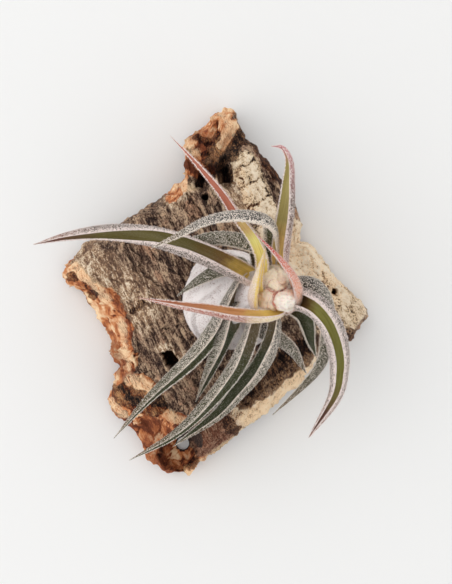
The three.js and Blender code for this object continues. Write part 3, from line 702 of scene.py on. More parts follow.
def new_piece(name, points, faces, slot, nodes=(), smooth_faces=True):
    """A mesh with its place in its points, which rides on the body and stands for nodes."""
    mesh = bpy.data.meshes.new(name)
    mesh.from_pydata((np.asarray(points) * MM).tolist(), [], faces)
    mesh.polygons.foreach_set("use_smooth", [smooth_faces] * len(mesh.polygons))
    obj = bpy.data.objects.new(name, mesh)
    bpy.context.scene.collection.objects.link(obj)
    dress(obj, nodes)
    return obj


def dress(obj, nodes=()):
    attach(obj, "root")
    if nodes:
        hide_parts(*nodes)


def store(obj, name, values):
    """Keeps one number for each point of obj, for its material to read."""
    kept = obj.data.attributes.new(name, "FLOAT", "POINT")
    kept.data.foreach_set("value", np.asarray(values, np.float32))


def ring_faces(rings, sides):
    """Faces of a closed surface of rings, between point 0 and the last point."""
    last = 1 + rings * sides
    side = np.arange(sides)
    after = (side + 1) % sides
    faces = [[0, 1 + b, 1 + a] for a, b in zip(side.tolist(), after.tolist())]
    end = 1 + (rings - 1) * sides
    faces += [[last, end + a, end + b] for a, b in zip(side.tolist(), after.tolist())]
    for ring in range(rings - 1):
        low = 1 + ring * sides
        faces += np.column_stack(
            [low + side, low + after, low + sides + after, low + sides + side]).tolist()
    return faces


def clear_selection():
    bpy.ops.object.select_all(action="DESELECT")


def make_active(obj):
    clear_selection()
    obj.select_set(True)
    bpy.context.view_layer.objects.active = obj


# Cork bark

def bark_top(x, y):
    """Height of the top face before its fibres and cracks."""
    across = x * ACROSS_GRAIN[0] + y * ACROSS_GRAIN[1]
    along = x * GRAIN[0] + y * GRAIN[1]
    height = BARK_TOP - BARK_DOME_DROP * (across / BARK_DOME_HALF_WIDTH) ** 2
    for _, start, end, width, rise in BARK_LUMPS:
        reach = distance_to_line(x, y, start, end) / width
        height = height + rise * smooth(2 - 2 * reach)
    waver = FURROW["waver"] * np.sin(2 * np.pi * along / FURROW["waver_pitch"])
    height = height + FURROW["height"] * np.sin(2 * np.pi * across / FURROW["pitch"] + waver)
    swell = np.sin(2 * np.pi * along / SWELL["pitch"] + SWELL["skew"] * across)
    return height + SWELL["height"] * swell


def bark_under(x, y):
    across = (x * ACROSS_GRAIN[0] + y * ACROSS_GRAIN[1]) / ARCH_HALF_WIDTH
    return np.maximum(0, ARCH_RISE * (1 - across * across))


def sector(angle, first, last):
    """From 0 to 1: how far each compass angle lies between the first and the last."""
    inside = np.minimum(angle - first, last - angle)
    return smooth(inside / SECTOR_BLEND + 0.5)


def torn_slope(angle):
    """Width of the slope between rim and top at each compass angle."""
    slope = np.full(len(angle), float(WEATHERED_SLOPE))
    for _, first, last, width, _ in TORN_SIDES:
        slope += (width - WEATHERED_SLOPE) * sector(angle, first, last)
    return slope


def side_look(angle, wanted):
    """From 0 to 1: how far the side of the bark at each compass angle has the wanted look."""
    inside = sum(sector(angle, first, last) for _, first, last, _, look in TORN_SIDES if look == wanted)
    return np.clip(inside, 0, 1)


def outline_points():
    """The outline in steps of nearly the same length, clockwise."""
    points = []
    for (x, y), (next_x, next_y) in zip(BARK_OUTLINE, BARK_OUTLINE[1:] + BARK_OUTLINE[:1]):
        steps = math.ceil(math.hypot(next_x - x, next_y - y) / BARK_STEP)
        for k in range(steps):
            points.append([x + (next_x - x) * k / steps, y + (next_y - y) * k / steps])
    return np.array(points[::-1])


def bark_rings():
    """The bark's rings from the middle of the underside, over the rim, to the middle of the top:
    points, for each point its shore, which is the share of the slope behind it, from -1 underneath
    and 0 at the rim to 1 on the top face, its compass angle, and the numbers of rings and sides."""
    spokes = outline_points() - BARK_CENTRE
    lengths = np.linalg.norm(spokes, axis=1)
    heading = spokes / lengths[:, None]
    angle = np.degrees(np.arctan2(spokes[:, 1], spokes[:, 0])) % 360
    slope = torn_slope(angle)
    window = int(EASED_OVER / BARK_STEP)
    padded = np.concatenate([lengths[-window:], lengths, lengths[:window]])
    eased = np.convolve(padded, np.ones(2 * window + 1) / (2 * window + 1), "valid")

    def ring(share, inset, height_at, shore):
        towards_edge = np.clip(4 * share - 3, 0, 1)
        reach = (eased + (lengths - eased) * towards_edge - inset * slope) * share
        flat = BARK_CENTRE + heading * reach[:, None]
        height = height_at(flat[:, 0], flat[:, 1])
        rings.append(np.column_stack([flat, height]))
        shores.append(np.full(len(flat), float(shore)))
        angles.append(angle)

    def slope_height(inset):
        rise = np.interp(inset, [0, SHOULDER_INSET, 1], [0, SHOULDER_RISE, 1])
        return lambda x, y: BARK_RIM_HEIGHT + (bark_top(x, y) - BARK_RIM_HEIGHT) * rise

    def foot(x, y):
        return bark_under(x, y) + BARK_FOOT_HEIGHT

    rings, shores, angles = [], [], []
    for share in UNDER_RINGS:
        ring(share, 0, bark_under, -1)
    ring(FOOT_RING, 0, foot, -0.5)
    for share in RIM_SHARES:
        ring(1, 0, lambda x, y: foot(x, y) + (BARK_RIM_HEIGHT - foot(x, y)) * share, 0)
    for k in range(SLOPE_RING_COUNT + 1):
        ring(1, k / SLOPE_RING_COUNT, slope_height(k / SLOPE_RING_COUNT), k / SLOPE_RING_COUNT)
    for k in range(1, TOP_RING_COUNT):
        ring(1 - k / TOP_RING_COUNT, 1, bark_top, 1)
    middle = BARK_CENTRE[:, None]
    first = [*BARK_CENTRE, bark_under(*middle)[0]]
    last = [*BARK_CENTRE, bark_top(*middle)[0]]
    points = np.vstack([first, *rings, last])
    shore = np.concatenate([[-1], *shores, [1]])
    compass = np.concatenate([[0], *angles, [0]])
    return points, shore, compass, len(rings), len(spokes)


def block_rows(points):
    """How far each point lies in a crack of the rows of blocks, from 0 to 1, the level of its block,
    from -1 to 1, and how far it stands on a row, from 0 to 1 with a crisp border."""
    crack, level, stand = (np.zeros(len(points)) for _ in range(3))
    wander = fractal(points, *BARK_NOISE["row wander"])
    for row in BLOCK_ROWS:
        start, end = np.array(row["line"], float)
        ahead = unit(end - start)
        offset = points[:, :2] - start
        across = offset @ np.array([-ahead[1], ahead[0]])
        along = (offset @ ahead + BLOCK_WANDER * wander + BLOCK_SKEW * across) / row["pitch"]
        aside = (across - BLOCK_WANDER * wander) / row["broad"] + row["aside"]
        aside = aside + BLOCK_STAGGER * (np.floor(along) % 2)
        near = np.minimum(*(
            (0.5 - np.abs(t - np.floor(t) - 0.5)) * step
            for t, step in ((along, row["pitch"]), (aside, row["broad"]))))
        reach = distance_to_line(points[:, 0], points[:, 1], *row["line"]) + BLOCK_BORDER * wander
        inside = smooth((row["width"] - reach) / BLOCK_BORDER)
        border = 4 * inside * (1 - inside)
        gap = np.maximum(inside * smooth(1 - near / BLOCK_CRACK_WIDTH), border)
        crack = np.maximum(crack, row["crack"] * gap)
        stand = np.maximum(stand, inside)
        level += inside * np.sin(7.3 * np.floor(along) + 3.1 * np.floor(aside))
    broken = smooth(1 + 1.6 * fractal(points, *BARK_NOISE["row gaps"]))
    return crack * broken, level, stand


def bark_relief(points, torn, pale, settings):
    """How far each point of the bark moves out along its normal, and how deep its colour lies. That depth
    follows the relief, lighter where the bark stands out and darker in its fissures, clefts, cracks and
    creases: painted light and shade over the cork's own tone.
    """
    places = grain_places(points)
    fibre, strand, lump, grit, bend = (
        fractal(places, *BARK_NOISE[name]) for name in ("fibre", "strand", "lump", "grit", "bend"))
    fissure = smooth((crests(places, *BARK_NOISE["fissure"]) - 0.78) / 0.2)
    bent = places + 1.3 * bend[:, None]
    near, edge, own, slope = flakes(bent, *BARK_CELLS["flake"])
    chip = flakes(bent, *BARK_CELLS["chip"])
    crumb = flakes(places + 0.5 * lump[:, None], *BARK_CELLS["crumb"])
    crease = smooth(1 - crumb[1] / 0.15) * smooth(0.6 + 1.5 * fibre)
    ridge = smooth(1 - edge / 0.13) * (own > -0.2)
    cleft = smooth(1 - edge / 0.11) * (own <= -0.2)
    crack, level, stand = block_rows(points)
    weathered = (1 - torn) * (1 - pale)
    fibre_height, fissure_depth = settings.fibre_height / MM, settings.fissure_depth / MM
    crack_depth, torn_height = settings.block_crack_depth / MM, settings.torn_height / MM
    relief = weathered * (fibre_height * (0.8 * fibre + 0.5 * strand + 0.6 * grit) + 0.55 * lump)
    relief -= weathered * fissure_depth * fissure
    relief += torn * torn_height * (1.1 * (near - 0.6) + 0.9 * slope + 0.25 * own - 0.6 * cleft)
    relief += torn * torn_height * (0.3 * (chip[0] - 0.4) + 0.3 * chip[3])
    relief += torn * 0.1 * grit
    relief += pale * (0.2 * grit + 0.3 * lump + 0.4 * level - 0.7 * (crumb[0] - 0.4) - 0.4 * crease)
    relief += stand - crack_depth * crack
    depth = weathered * (0.5 + 0.3 * fibre + 0.25 * strand + 0.25 * lump - 0.5 * fissure)
    depth += torn * (0.44 + 0.3 * (near - 0.4) + 0.22 * slope + 0.1 * own + 0.3 * ridge - 0.4 * cleft)
    depth += torn * (0.1 * chip[2] + 0.3 * (chip[0] - 0.4))
    depth += pale * (0.66 + 0.22 * grit + 0.25 * lump + 0.08 * level - 0.75 * crack - 0.36 * crease)
    return relief, np.clip(depth, 0, 1)


def sink_pits(points, shore):
    """Lowers the top face into its pits, and returns how far each point lies in one."""
    inside = np.zeros(len(points))
    ragged = PIT_RAGGED * fractal(points, *BARK_NOISE["pit"])
    for _, (middle_x, middle_y), size, degrees, floor in BARK_PITS:
        turn = math.radians(degrees)
        x, y = points[:, 0] - middle_x, points[:, 1] - middle_y
        wide = np.abs(x * math.cos(turn) + y * math.sin(turn)) / size[0]
        long = np.abs(y * math.cos(turn) - x * math.sin(turn)) / size[1]
        away = ((wide ** PIT_CORNERS + long ** PIT_CORNERS) ** (1 / PIT_CORNERS) + ragged) * min(size)
        drop = smooth((min(size) - away) / PIT_WALL + 0.5) * (shore > 0.6)
        points[:, 2] += (np.minimum(points[:, 2], floor) - points[:, 2]) * drop
        inside = np.maximum(inside, drop)
    return inside


def cut_through_hole(bark):
    """Cuts the flared hole that shows the table, with a leaning cone that then goes, and dissolves
    the points that the cut leaves in the middle of an edge."""
    x, y = THROUGH_HOLE["at"]
    height = THROUGH_HOLE["to"] - THROUGH_HOLE["from"]
    middle = (THROUGH_HOLE["to"] + THROUGH_HOLE["from"]) / 2
    radius = THROUGH_HOLE["radius"]
    clear_selection()
    bpy.ops.mesh.primitive_cone_add(
        vertices=THROUGH_HOLE["sides"], radius1=radius * MM, depth=height * MM,
        radius2=(radius + THROUGH_HOLE["flare"] * height) * MM,
        location=(x * MM, y * MM, middle * MM))
    cutter = bpy.context.active_object
    for vertex in cutter.data.vertices:
        below_level = (THROUGH_HOLE["level"] - middle) * MM - vertex.co.z
        vertex.co.x += THROUGH_HOLE["lean"][0] * below_level
        vertex.co.y += THROUGH_HOLE["lean"][1] * below_level
    store(cutter, "torn", np.ones(len(cutter.data.vertices)))
    # Painted shade: the hole's wall gets a low depth, darker than the torn cork round it.
    store(cutter, "depth", np.full(len(cutter.data.vertices), 0.3))
    cutter.data.materials.append(bark.data.materials[0])
    make_active(bark)
    cut = bark.modifiers.new("through hole", "BOOLEAN")
    cut.operation = "DIFFERENCE"
    cut.solver = "MANIFOLD"
    cut.object = cutter
    bpy.ops.object.modifier_apply(modifier=cut.name)
    bpy.data.objects.remove(cutter)
    cleaned = bmesh.new()
    cleaned.from_mesh(bark.data)
    left_over = [vertex for vertex in cleaned.verts if len(vertex.link_edges) == 2]
    bmesh.ops.dissolve_verts(cleaned, verts=left_over)
    cleaned.to_mesh(bark.data)
    cleaned.free()


def build_bark(settings):
    points, shore, angle, rings, sides = bark_rings()
    x, y = points[:, 0], points[:, 1]
    low = smooth((SIDE_WALL_TOP - points[:, 2]) / 5)
    ragged = 1.5 * fractal(points, *BARK_NOISE["border"])
    ragged = ragged + 2.4 * low * fractal(points, *BARK_NOISE["low border"])
    on_slope = smooth((1 - shore - 0.14 * ragged) / 0.25) * smooth((1 - shore) / 0.12)
    fresh = 1 - patches(x, y, WORN_PATCHES, 0.6 * ragged)
    angle = angle + 3 * ragged
    torn = side_look(angle, "torn") * on_slope
    torn = np.maximum(torn, patches(x, y, TORN_PATCHES, ragged)) * fresh
    pale = side_look(angle, "pale") * on_slope
    pale = np.maximum(pale, patches(x, y, PALE_PATCHES, 0.6 * ragged))
    pale = np.minimum(pale * fresh, 1 - torn)
    under = smooth(-2 * shore)
    bark = new_piece("bark", points, ring_faces(rings, sides), "cork", ["cork_bark"])
    normals = np.zeros(len(points) * 3)
    bark.data.vertices.foreach_get("normal", normals)
    relief, depth = bark_relief(points, torn, pale, settings)
    moved = points + normals.reshape(-1, 3) * (relief * (1 - 0.6 * under))[:, None]
    outward = unit(points[:, :2] - BARK_CENTRE)
    at_rim = (1 - np.abs(shore)).clip(0, 1)
    nick = OUTLINE_NICK * fractal(points, *BARK_NOISE["nick"]) * at_rim
    moved[:, :2] += outward * (nick * (0.3 + 0.7 * np.maximum(torn, pale)))[:, None]
    pit = sink_pits(moved, shore)
    moved[:, 2] = np.maximum(moved[:, 2], 0)
    bark.data.vertices.foreach_set("co", (moved * MM).ravel())
    above = smooth((points[:, 2] - PATCH_FLOOR + ragged) / 2)
    # Painted shade: the pits join the dark mask and their depth is lowered, so they come out darker in
    # colour.
    dark = np.maximum(patches(x, y, SHADE_AND_STAIN_PATCHES, ragged) * above, pit)
    for name, values in {
        "torn": torn, "pale": pale, "dark": dark, "depth": depth * (1 - 0.8 * pit), "under": under,
        "ruddy": patches(x, y, RUDDY_PATCHES, ragged) * above,
        "cream": patches(x, y, CREAM_HIGHLIGHT_PATCHES, 0.6 * ragged) * above,
        "tan": patches(x, y, TAN_PATCHES, 1.5 * ragged) * above,
    }.items():
        store(bark, name, values)
    bark.data.update()
    bark.data.materials.append(cork_material(settings))
    cut_through_hole(bark)
    return bark


# Swollen base

def bulb_form(settings):
    """Points of the swollen base, the lap of its sheaths at each, and the surface's upward line."""
    shares = np.linspace(0, 1, BULB_RINGS + 2)[1:-1]
    centre, up = along_curve(BULB_AXIS, shares)
    radii = catmull_rom([[r] for r in BULB_RADII], 20)[0][:, 0]
    radius = np.interp(shares, np.linspace(0, 1, len(radii)), radii)
    side = unit(np.cross([0, 1, 0], up))
    front = np.cross(up, side)
    turn = np.arange(BULB_SIDES) / BULB_SIDES
    wound = turn[None] * SHEATH_COUNT + shares[:, None] * SHEATH_TURN
    wound = wound + SHEATH_WAVER * np.sin(6 * np.pi * shares)[:, None]
    lap = wound - np.floor(wound)
    fading = smooth(6 * (1 - shares))[:, None]
    reach = radius[:, None] + settings.sheath_step / MM * (lap - 0.5) * fading
    angle = 2 * np.pi * turn[None, :, None]
    out = side[:, None] * np.cos(angle) + front[:, None] * np.sin(angle)
    points = centre[:, None] + out * reach[..., None]
    ends, _ = along_curve(BULB_AXIS, [0, 1])
    points = np.vstack([ends[:1], points.reshape(-1, 3), ends[1:]])
    lap = np.concatenate([[0.5], lap.ravel(), [0.5]])
    rise = np.vstack([up[:1], np.repeat(up, BULB_SIDES, axis=0), up[-1:]])
    return points, lap, rise


def build_bulb(settings):
    points, lap, rise = bulb_form(settings)
    faces = ring_faces(BULB_RINGS, BULB_SIDES)
    bulb = new_piece("swollen_base", points, faces, "sheath", ["pseudobulb"])
    store(bulb, "lap", lap)
    bulb.data.materials.append(sheath_material(settings))
    weight = 0.6 + 2.4 * smooth((lap - 0.86) / 0.1) + 0.4 * (lap > 0.4)
    sizes = np.full(len(points), settings.scale_length)
    scales = scatter_scales(points, faces, weight, rise, sizes, BULB_SCALE_COUNT, settings, seed=5)
    frost = new_piece("swollen_base_scales", *scales, "sheath", smooth_faces=False)
    frost.data.materials.append(scale_material("sheath_scales", settings.sheath_frost))


# Bud

def bud_form(points, dome, settings):
    """Moves the points of a ball of radius 1 to a folded dome, and returns the lap of its folds."""
    turn = np.arctan2(points[:, 1], points[:, 0])
    swirl = turn / (2 * np.pi) * dome["folds"] + points[:, 2] * 0.5
    lap = swirl - np.floor(swirl)
    low = 1 - points[:, 2] ** 2
    puffy = fractal(points, (BUD_PUFF_SIZE,) * 3, 3, dome["folds"] * 5.0)
    reach = 1 + (settings.bud_fold / MM * (lap - 0.5) * low + settings.bud_puff / MM * puffy) / 4
    points[:] = points * reach[:, None] * np.array(dome["radii"]) + np.array(dome["at"])
    return lap


def beside_neighbours(points, dome):
    """From 0 to 1: how near each point comes to the other domes' surfaces."""
    near = np.zeros(len(points))
    for other in BUD_DOMES:
        if other is not dome:
            offset = (points - np.array(other["at"])) / np.array(other["radii"])
            away = np.linalg.norm(offset, axis=1)
            near = np.maximum(near, smooth((1.3 - away) / 0.22))
    return near


def build_bud(settings):
    for dome in BUD_DOMES:
        clear_selection()
        bpy.ops.mesh.primitive_uv_sphere_add(segments=BUD_SIDES, ring_count=BUD_RINGS, radius=1)
        obj = bpy.context.active_object
        obj.name = dome["name"]
        obj.data.name = dome["name"]
        points = np.zeros(len(obj.data.vertices) * 3)
        obj.data.vertices.foreach_get("co", points)
        points = points.reshape(-1, 3)
        lap = bud_form(points, dome, settings)
        obj.data.vertices.foreach_set("co", (points * MM).ravel())
        obj.data.update()
        bpy.ops.object.shade_smooth()
        dress(obj, ["flower_bud"])
        store(obj, "lap", lap)
        slit = beside_neighbours(points, dome)
        store(obj, "slit", slit)
        obj.data.materials.append(bud_material(dome, settings))
        # Sorted, because the ball's faces come in a different order each time.
        faces = sorted(list(p.vertices) for p in obj.data.polygons)
        lean = np.tile([0.0, 0.0, 0.6], (len(points), 1))
        weight = 0.3 + 2 * smooth((lap - 0.8) / 0.1) + (1 - dome["bare"]) + slit
        sizes = np.full(len(points), settings.scale_length)
        scales = scatter_scales(points, faces, weight, lean, sizes, dome["hairs"], settings, seed=7)
        frost = new_piece(dome["name"] + "_scales", *scales, "bud", smooth_faces=False)
        frost.data.materials.append(scale_material("bud_hairs", settings.bud_hair))


# Leaves

def leaf_form(leaf):
    """Points of a leaf, with the share along, the place across from -1 to 1 and whether it faces
    the channel, and the directions towards the tip and out over the nearer margin."""
    steps = np.linspace(0, 1, LEAF_STATIONS)
    share = LAST_STATION * steps ** STATION_POWER
    spine, tangent = along_curve(leaf["path"], share)
    root_face, tip_face = unit(np.array(leaf["face"], float))
    face = root_face + (tip_face - root_face) * share[:, None]
    face = unit(face - tangent * np.sum(face * tangent, axis=1, keepdims=True))
    sideways = np.cross(face, tangent)
    breadth = leaf["breadth"] * (1 - share ** leaf["taper"]) ** TIP_POWER
    at_root = leaf.get("channel_at_root", CHANNEL_AT_ROOT)
    curl = np.radians(at_root + (leaf["channel"] - at_root) * smooth(share / CHANNEL_SETTLES))
    midrib = np.clip(THICKNESS_PER_BREADTH * breadth + THINNEST_MIDRIB, 0.1, MIDRIB_THICKNESS)
    midrib = np.minimum(midrib, 0.3 + 0.55 * breadth)
    half_span = np.sin(np.minimum(curl, np.pi / 2))
    radius = np.maximum(breadth / 2 / half_span, TIGHTEST_CHANNEL * midrib)
    narrow = breadth / 2 / radius
    reach = curl * np.arcsin(np.minimum(narrow, half_span)) / np.arcsin(half_span)
    middle = radius * (1 - np.cos(reach)) / 2
    turn = np.linspace(-1, 1, SECTION_STEPS + 1)
    edge = np.clip((np.abs(turn) - MARGIN_STARTS) / (1 - MARGIN_STARTS), 0, 1)
    thin = MARGIN_THICKNESS * np.minimum(1, midrib / 0.6)[:, None]
    thickness = midrib[:, None] + (thin - midrib[:, None]) * turn[None] ** 2
    thickness = thickness * (1 - edge[None] * (1 - MARGIN_EDGE / MARGIN_THICKNESS))
    wave = 1 + MARGIN_WAVE * np.sin(9 * share + leaf["breadth"] * 3)[:, None] * turn[None] ** 3
    phi = reach[:, None] * turn[None] * wave
    sections = []
    for side in (1, -1):
        r = radius[:, None] + side * thickness / 2
        across = r * np.sin(phi)
        rise = leaf.get("depth", 1) * (radius[:, None] - r * np.cos(phi) - middle[:, None])
        at = spine[:, None] + sideways[:, None] * across[..., None] + face[:, None] * rise[..., None]
        sections.append(at[:, ::side])
    points = np.concatenate(sections, axis=1)
    sides = points.shape[1]
    ends, _ = along_curve(leaf["path"], [0, 1])
    ends[0] -= tangent[0] * ROOT_CAP
    across = np.concatenate([turn, turn[::-1]])
    channel = np.concatenate([np.zeros(len(turn)), np.ones(len(turn))])
    over_margin = np.sign(across)[None, :, None]
    outward = sideways[:, None] * over_margin * np.abs(across)[None, :, None] ** 4
    data = {
        "points": np.vstack([ends[:1], points.reshape(-1, 3), ends[1:]]),
        "along": np.concatenate([[0], np.repeat(share, sides), [1]]),
        "across": np.concatenate([[0], np.tile(across, len(share)), [0]]),
        "channel": np.concatenate([[0], np.tile(channel, len(share)), [0]]),
        "tipward": np.vstack([tangent[:1], np.repeat(tangent, sides, axis=0), tangent[-1:]]),
        "outward": np.vstack([np.zeros((1, 3)), outward.reshape(-1, 3), np.zeros((1, 3))]),
    }
    return data, ring_faces(len(share), sides)


def build_leaf(leaf, settings):
    data, faces = leaf_form(leaf)
    finish = FINISHES[leaf["finish"]]
    points, slot = data["points"], finish["slot"]
    obj = new_piece(leaf["name"] + "_blade", points, faces, slot, [leaf["name"]])
    for name in ("along", "across", "channel"):
        store(obj, name, data[name])
    obj.data.materials.append(leaf_material(leaf["finish"], finish, settings))
    across = np.abs(data["across"])
    fringe = smooth((across - MARGIN_STARTS) / 0.1)
    near_root, near_tip = finish["frost"][1:]
    on_back = near_root + (near_tip - near_root) * data["along"]
    weight = (1 - data["channel"]) * on_back + 1.3 * fringe
    weight *= 1 - 0.75 * data["channel"]
    lean = 0.7 * data["tipward"] + 1.5 * data["outward"]
    spans = np.diff(np.array(leaf["path"]), axis=0)
    area = leaf["breadth"] * np.linalg.norm(spans, axis=1).sum()
    count = int(settings.scales_per_leaf * finish["scales"] * area / AVERAGE_LEAF_AREA)
    seed = 100 + LEAVES.index(leaf)
    sizes = settings.scale_length + (settings.fringe_length - settings.scale_length) * fringe
    scales = scatter_scales(points, faces, weight, lean, sizes, count, settings, seed)
    frost = new_piece(leaf["name"] + "_scales", *scales, slot, smooth_faces=False)
    tint = finish["tint"]
    frost.data.materials.append(scale_material(tint + "_scales", getattr(settings, tint)))


# Silver scales

def triangles(faces):
    """Corners of the faces, with each four-sided face as two triangles."""
    corners = []
    for face in faces:
        corners.append(face[:3])
        if len(face) == 4:
            corners.append([face[0], face[2], face[3]])
    return np.array(corners)


def scatter_scales(points, faces, weight, lean, sizes, count, settings, seed):
    """Points and faces of count slim four-sided scales on the surface, leaning along lean. weight,
    lean and sizes, in metres, are given at the surface's points."""
    rng = np.random.default_rng(seed)
    corners = triangles(faces)
    a, b, c = (points[corners[:, k]] for k in range(3))
    normal = np.cross(b - a, c - a)
    area = np.linalg.norm(normal, axis=1) / 2
    normal = unit(normal)
    chance = area * weight[corners].mean(axis=1)
    chosen = rng.choice(len(corners), count, p=chance / chance.sum())
    u, v = rng.random((2, count))
    folded = u + v > 1
    u, v = (np.where(folded, 1 - t, t)[:, None] for t in (u, v))
    foot = a[chosen] + u * (b - a)[chosen] + v * (c - a)[chosen]
    out = normal[chosen]
    corner = corners[chosen, 0]
    heading = unit(SCALE_LIFT * out + lean[corner] + rng.normal(0, SCALE_SPREAD, (count, 3)))
    side = unit(np.cross(heading, out) + rng.normal(0, SCALE_TWIST, (count, 3)))
    size = sizes[corner][:, None] / MM * rng.uniform(*SCALE_LENGTHS, (count, 1))
    width = settings.scale_width / MM * rng.uniform(*SCALE_WIDTHS, (count, 1))
    sunk = foot - out * SCALE_SUNK
    behind = np.cross(side, out) * width * SCALE_THICKNESS
    base = [sunk + side * width / 2, sunk - side * width / 2, sunk - behind]
    tip = foot + heading * size
    flipped = np.sum(np.cross(base[1] - base[0], base[2] - base[0]) * (tip - base[0]), axis=1) < 0
    first = np.where(flipped[:, None], base[1], base[0])
    second = np.where(flipped[:, None], base[0], base[1])
    made = np.stack([first, second, base[2], tip], axis=1).reshape(-1, 3)
    first_corner = 4 * np.arange(count)[:, None, None]
    scale_faces = np.array([[0, 2, 1], [0, 1, 3], [1, 2, 3], [2, 0, 3]])
    return made, (first_corner + scale_faces).reshape(-1, 3).tolist()


# Material nodes

def add(tree, kind, inputs=None, **values):
    """A node of that kind with its settings, and its inputs set or linked."""
    node = tree.nodes.new(kind)
    for name, value in values.items():
        setattr(node, name, value)
    for name, value in (inputs or {}).items():
        socket = node.inputs[name]
        if isinstance(value, bpy.types.NodeSocket):
            tree.links.new(value, socket)
        elif socket.type == "RGBA" and len(value) == 3:
            socket.default_value = (*value, 1)
        else:
            socket.default_value = value
    return node


def compute(tree, operation, *values):
    return add(tree, "ShaderNodeMath", dict(enumerate(values)), operation=operation).outputs[0]


def fade(tree, value, low, high):
    """From 0 where value is low to 1 where it is high, with soft ends."""
    inputs = {"Value": value, "From Min": low, "From Max": high}
    return add(tree, "ShaderNodeMapRange", inputs, interpolation_type="SMOOTHSTEP").outputs[0]


def blend(tree, share, first, second, mode="MIX"):
    """The first colour where share is 0 and the second where it is 1."""
    inputs = {0: share, 6: first, 7: second}
    return add(tree, "ShaderNodeMix", inputs, data_type="RGBA", blend_type=mode).outputs[2]


def between(tree, share, first, second):
    """The first value where share is 0 and the second where it is 1."""
    return add(tree, "ShaderNodeMix", {0: share, 2: first, 3: second}).outputs[0]


def object_places(tree):
    return add(tree, "ShaderNodeTexCoord").outputs["Object"]


def clouds(tree, places, scale, detail):
    """Soft noise round a half."""
    inputs = {"Vector": places, "Scale": scale, "Detail": detail}
    return add(tree, "ShaderNodeTexNoise", inputs).outputs["Fac"]


def ramp(tree, value, stops):
    """A colour ramp with stops, each a place and a colour."""
    node = add(tree, "ShaderNodeValToRGB", {0: value})
    elements = node.color_ramp.elements
    while len(elements) < len(stops):
        elements.new(0.5)
    for element, (place, shade) in zip(elements, stops):
        element.position = place
        element.color = (*shade[:3], 1)
    return node.outputs[0]


def attribute(tree, name):
    return add(tree, "ShaderNodeAttribute", attribute_name=name).outputs["Fac"]


def group_tree(name, inputs, outputs):
    """A node group with those inputs and outputs: its tree, and the sockets inside it."""
    tree = bpy.data.node_groups.new(name, "ShaderNodeTree")
    for socket, default in inputs.items():
        made = tree.interface.new_socket(socket, in_out="INPUT", socket_type="NodeSocketFloat")
        made.default_value = default
    for socket in outputs:
        tree.interface.new_socket(socket, in_out="OUTPUT", socket_type="NodeSocketFloat")
    return tree, tree.nodes.new("NodeGroupInput").outputs, tree.nodes.new("NodeGroupOutput").inputs


def grain_group():
    """Noise drawn out along the bark's grain: Across and Along are feature sizes in metres."""
    if "grain" in bpy.data.node_groups:
        return bpy.data.node_groups["grain"]
    inputs = {"Across": 1 * MM, "Along": 4 * MM, "Detail": 5.0, "Warp": 0.0, "Seed": 0.0}
    tree, given, result = group_tree("grain", inputs, ["Value"])
    upright = {"Vector": object_places(tree), "Angle": math.pi / 2 - GRAIN_ANGLE}
    turned = add(tree, "ShaderNodeVectorRotate", upright, rotation_type="Z_AXIS").outputs[0]
    feature = {0: given["Across"], 1: given["Along"], 2: given["Across"]}
    size = add(tree, "ShaderNodeCombineXYZ", feature).outputs[0]
    scaled = add(tree, "ShaderNodeVectorMath", {0: turned, 1: size}, operation="DIVIDE").outputs[0]
    shifted = add(tree, "ShaderNodeVectorMath", {0: scaled, 1: given["Seed"]}).outputs[0]
    value = add(tree, "ShaderNodeTexNoise", {
        "Vector": shifted, "Scale": 1.0, "Detail": given["Detail"], "Roughness": 0.62,
        "Distortion": given["Warp"]})
    tree.links.new(value.outputs["Fac"], result["Value"])
    return tree


def grain(tree, across, along, detail, warp=0.0, seed=0.0):
    """The grain's noise with features across and along in millimetres."""
    inputs = {"Across": across * MM, "Along": along * MM, "Detail": detail, "Warp": warp, "Seed": seed}
    return add(tree, "ShaderNodeGroup", inputs, node_tree=grain_group()).outputs[0]


def frost_group():
    """Flecks of frost, each round a place of its own: Cover is the share of the surface they take,
    and Fleck how far apart they are, in metres."""
    if "frost" in bpy.data.node_groups:
        return bpy.data.node_groups["frost"]
    inputs = {"Cover": 0.5, "Fleck": 0.44 * MM}
    tree, given, result = group_tree("frost", inputs, ["Mask", "Height"])
    place = object_places(tree)
    scale = compute(tree, "DIVIDE", 1.0, given["Fleck"])
    cells = add(tree, "ShaderNodeTexVoronoi", {"Vector": place, "Scale": scale, "Randomness": 1.0})
    drawn = add(tree, "ShaderNodeSeparateColor", {0: cells.outputs["Color"]}).outputs[0]
    cover = compute(tree, "MULTIPLY_ADD", clouds(tree, place, 380.0, 2.0), 0.4, -0.2)
    cover = compute(tree, "ADD", cover, compute(tree, "MULTIPLY_ADD", drawn, 0.3, -0.15))
    present = fade(tree, given["Cover"], 0.0, 0.1)
    cover = compute(tree, "ADD", given["Cover"], compute(tree, "MULTIPLY", cover, present))
    reach = compute(tree, "MULTIPLY_ADD", cover, 0.66, 0.2)
    inside = compute(tree, "SUBTRACT", reach, cells.outputs["Distance"])
    mask = compute(tree, "MULTIPLY", fade(tree, inside, -0.07, 0.07), present)
    tree.links.new(mask, result["Mask"])
    dome = fade(tree, inside, -0.05, 0.45)
    tree.links.new(compute(tree, "MULTIPLY", mask, dome), result["Height"])
    return tree


def new_material(name, roughness):
    material = bpy.data.materials.new(name)
    material.use_nodes = True
    tree = material.node_tree
    shader = tree.nodes["Principled BSDF"]
    shader.inputs["Roughness"].default_value = roughness
    shader.inputs["Specular IOR Level"].default_value = 0.3
    return material, tree, shader


def bump(tree, shader, height, distance):
    bumped = add(tree, "ShaderNodeBump", {"Height": height, "Distance": distance}).outputs[0]
    tree.links.new(bumped, shader.inputs["Normal"])


# Materials

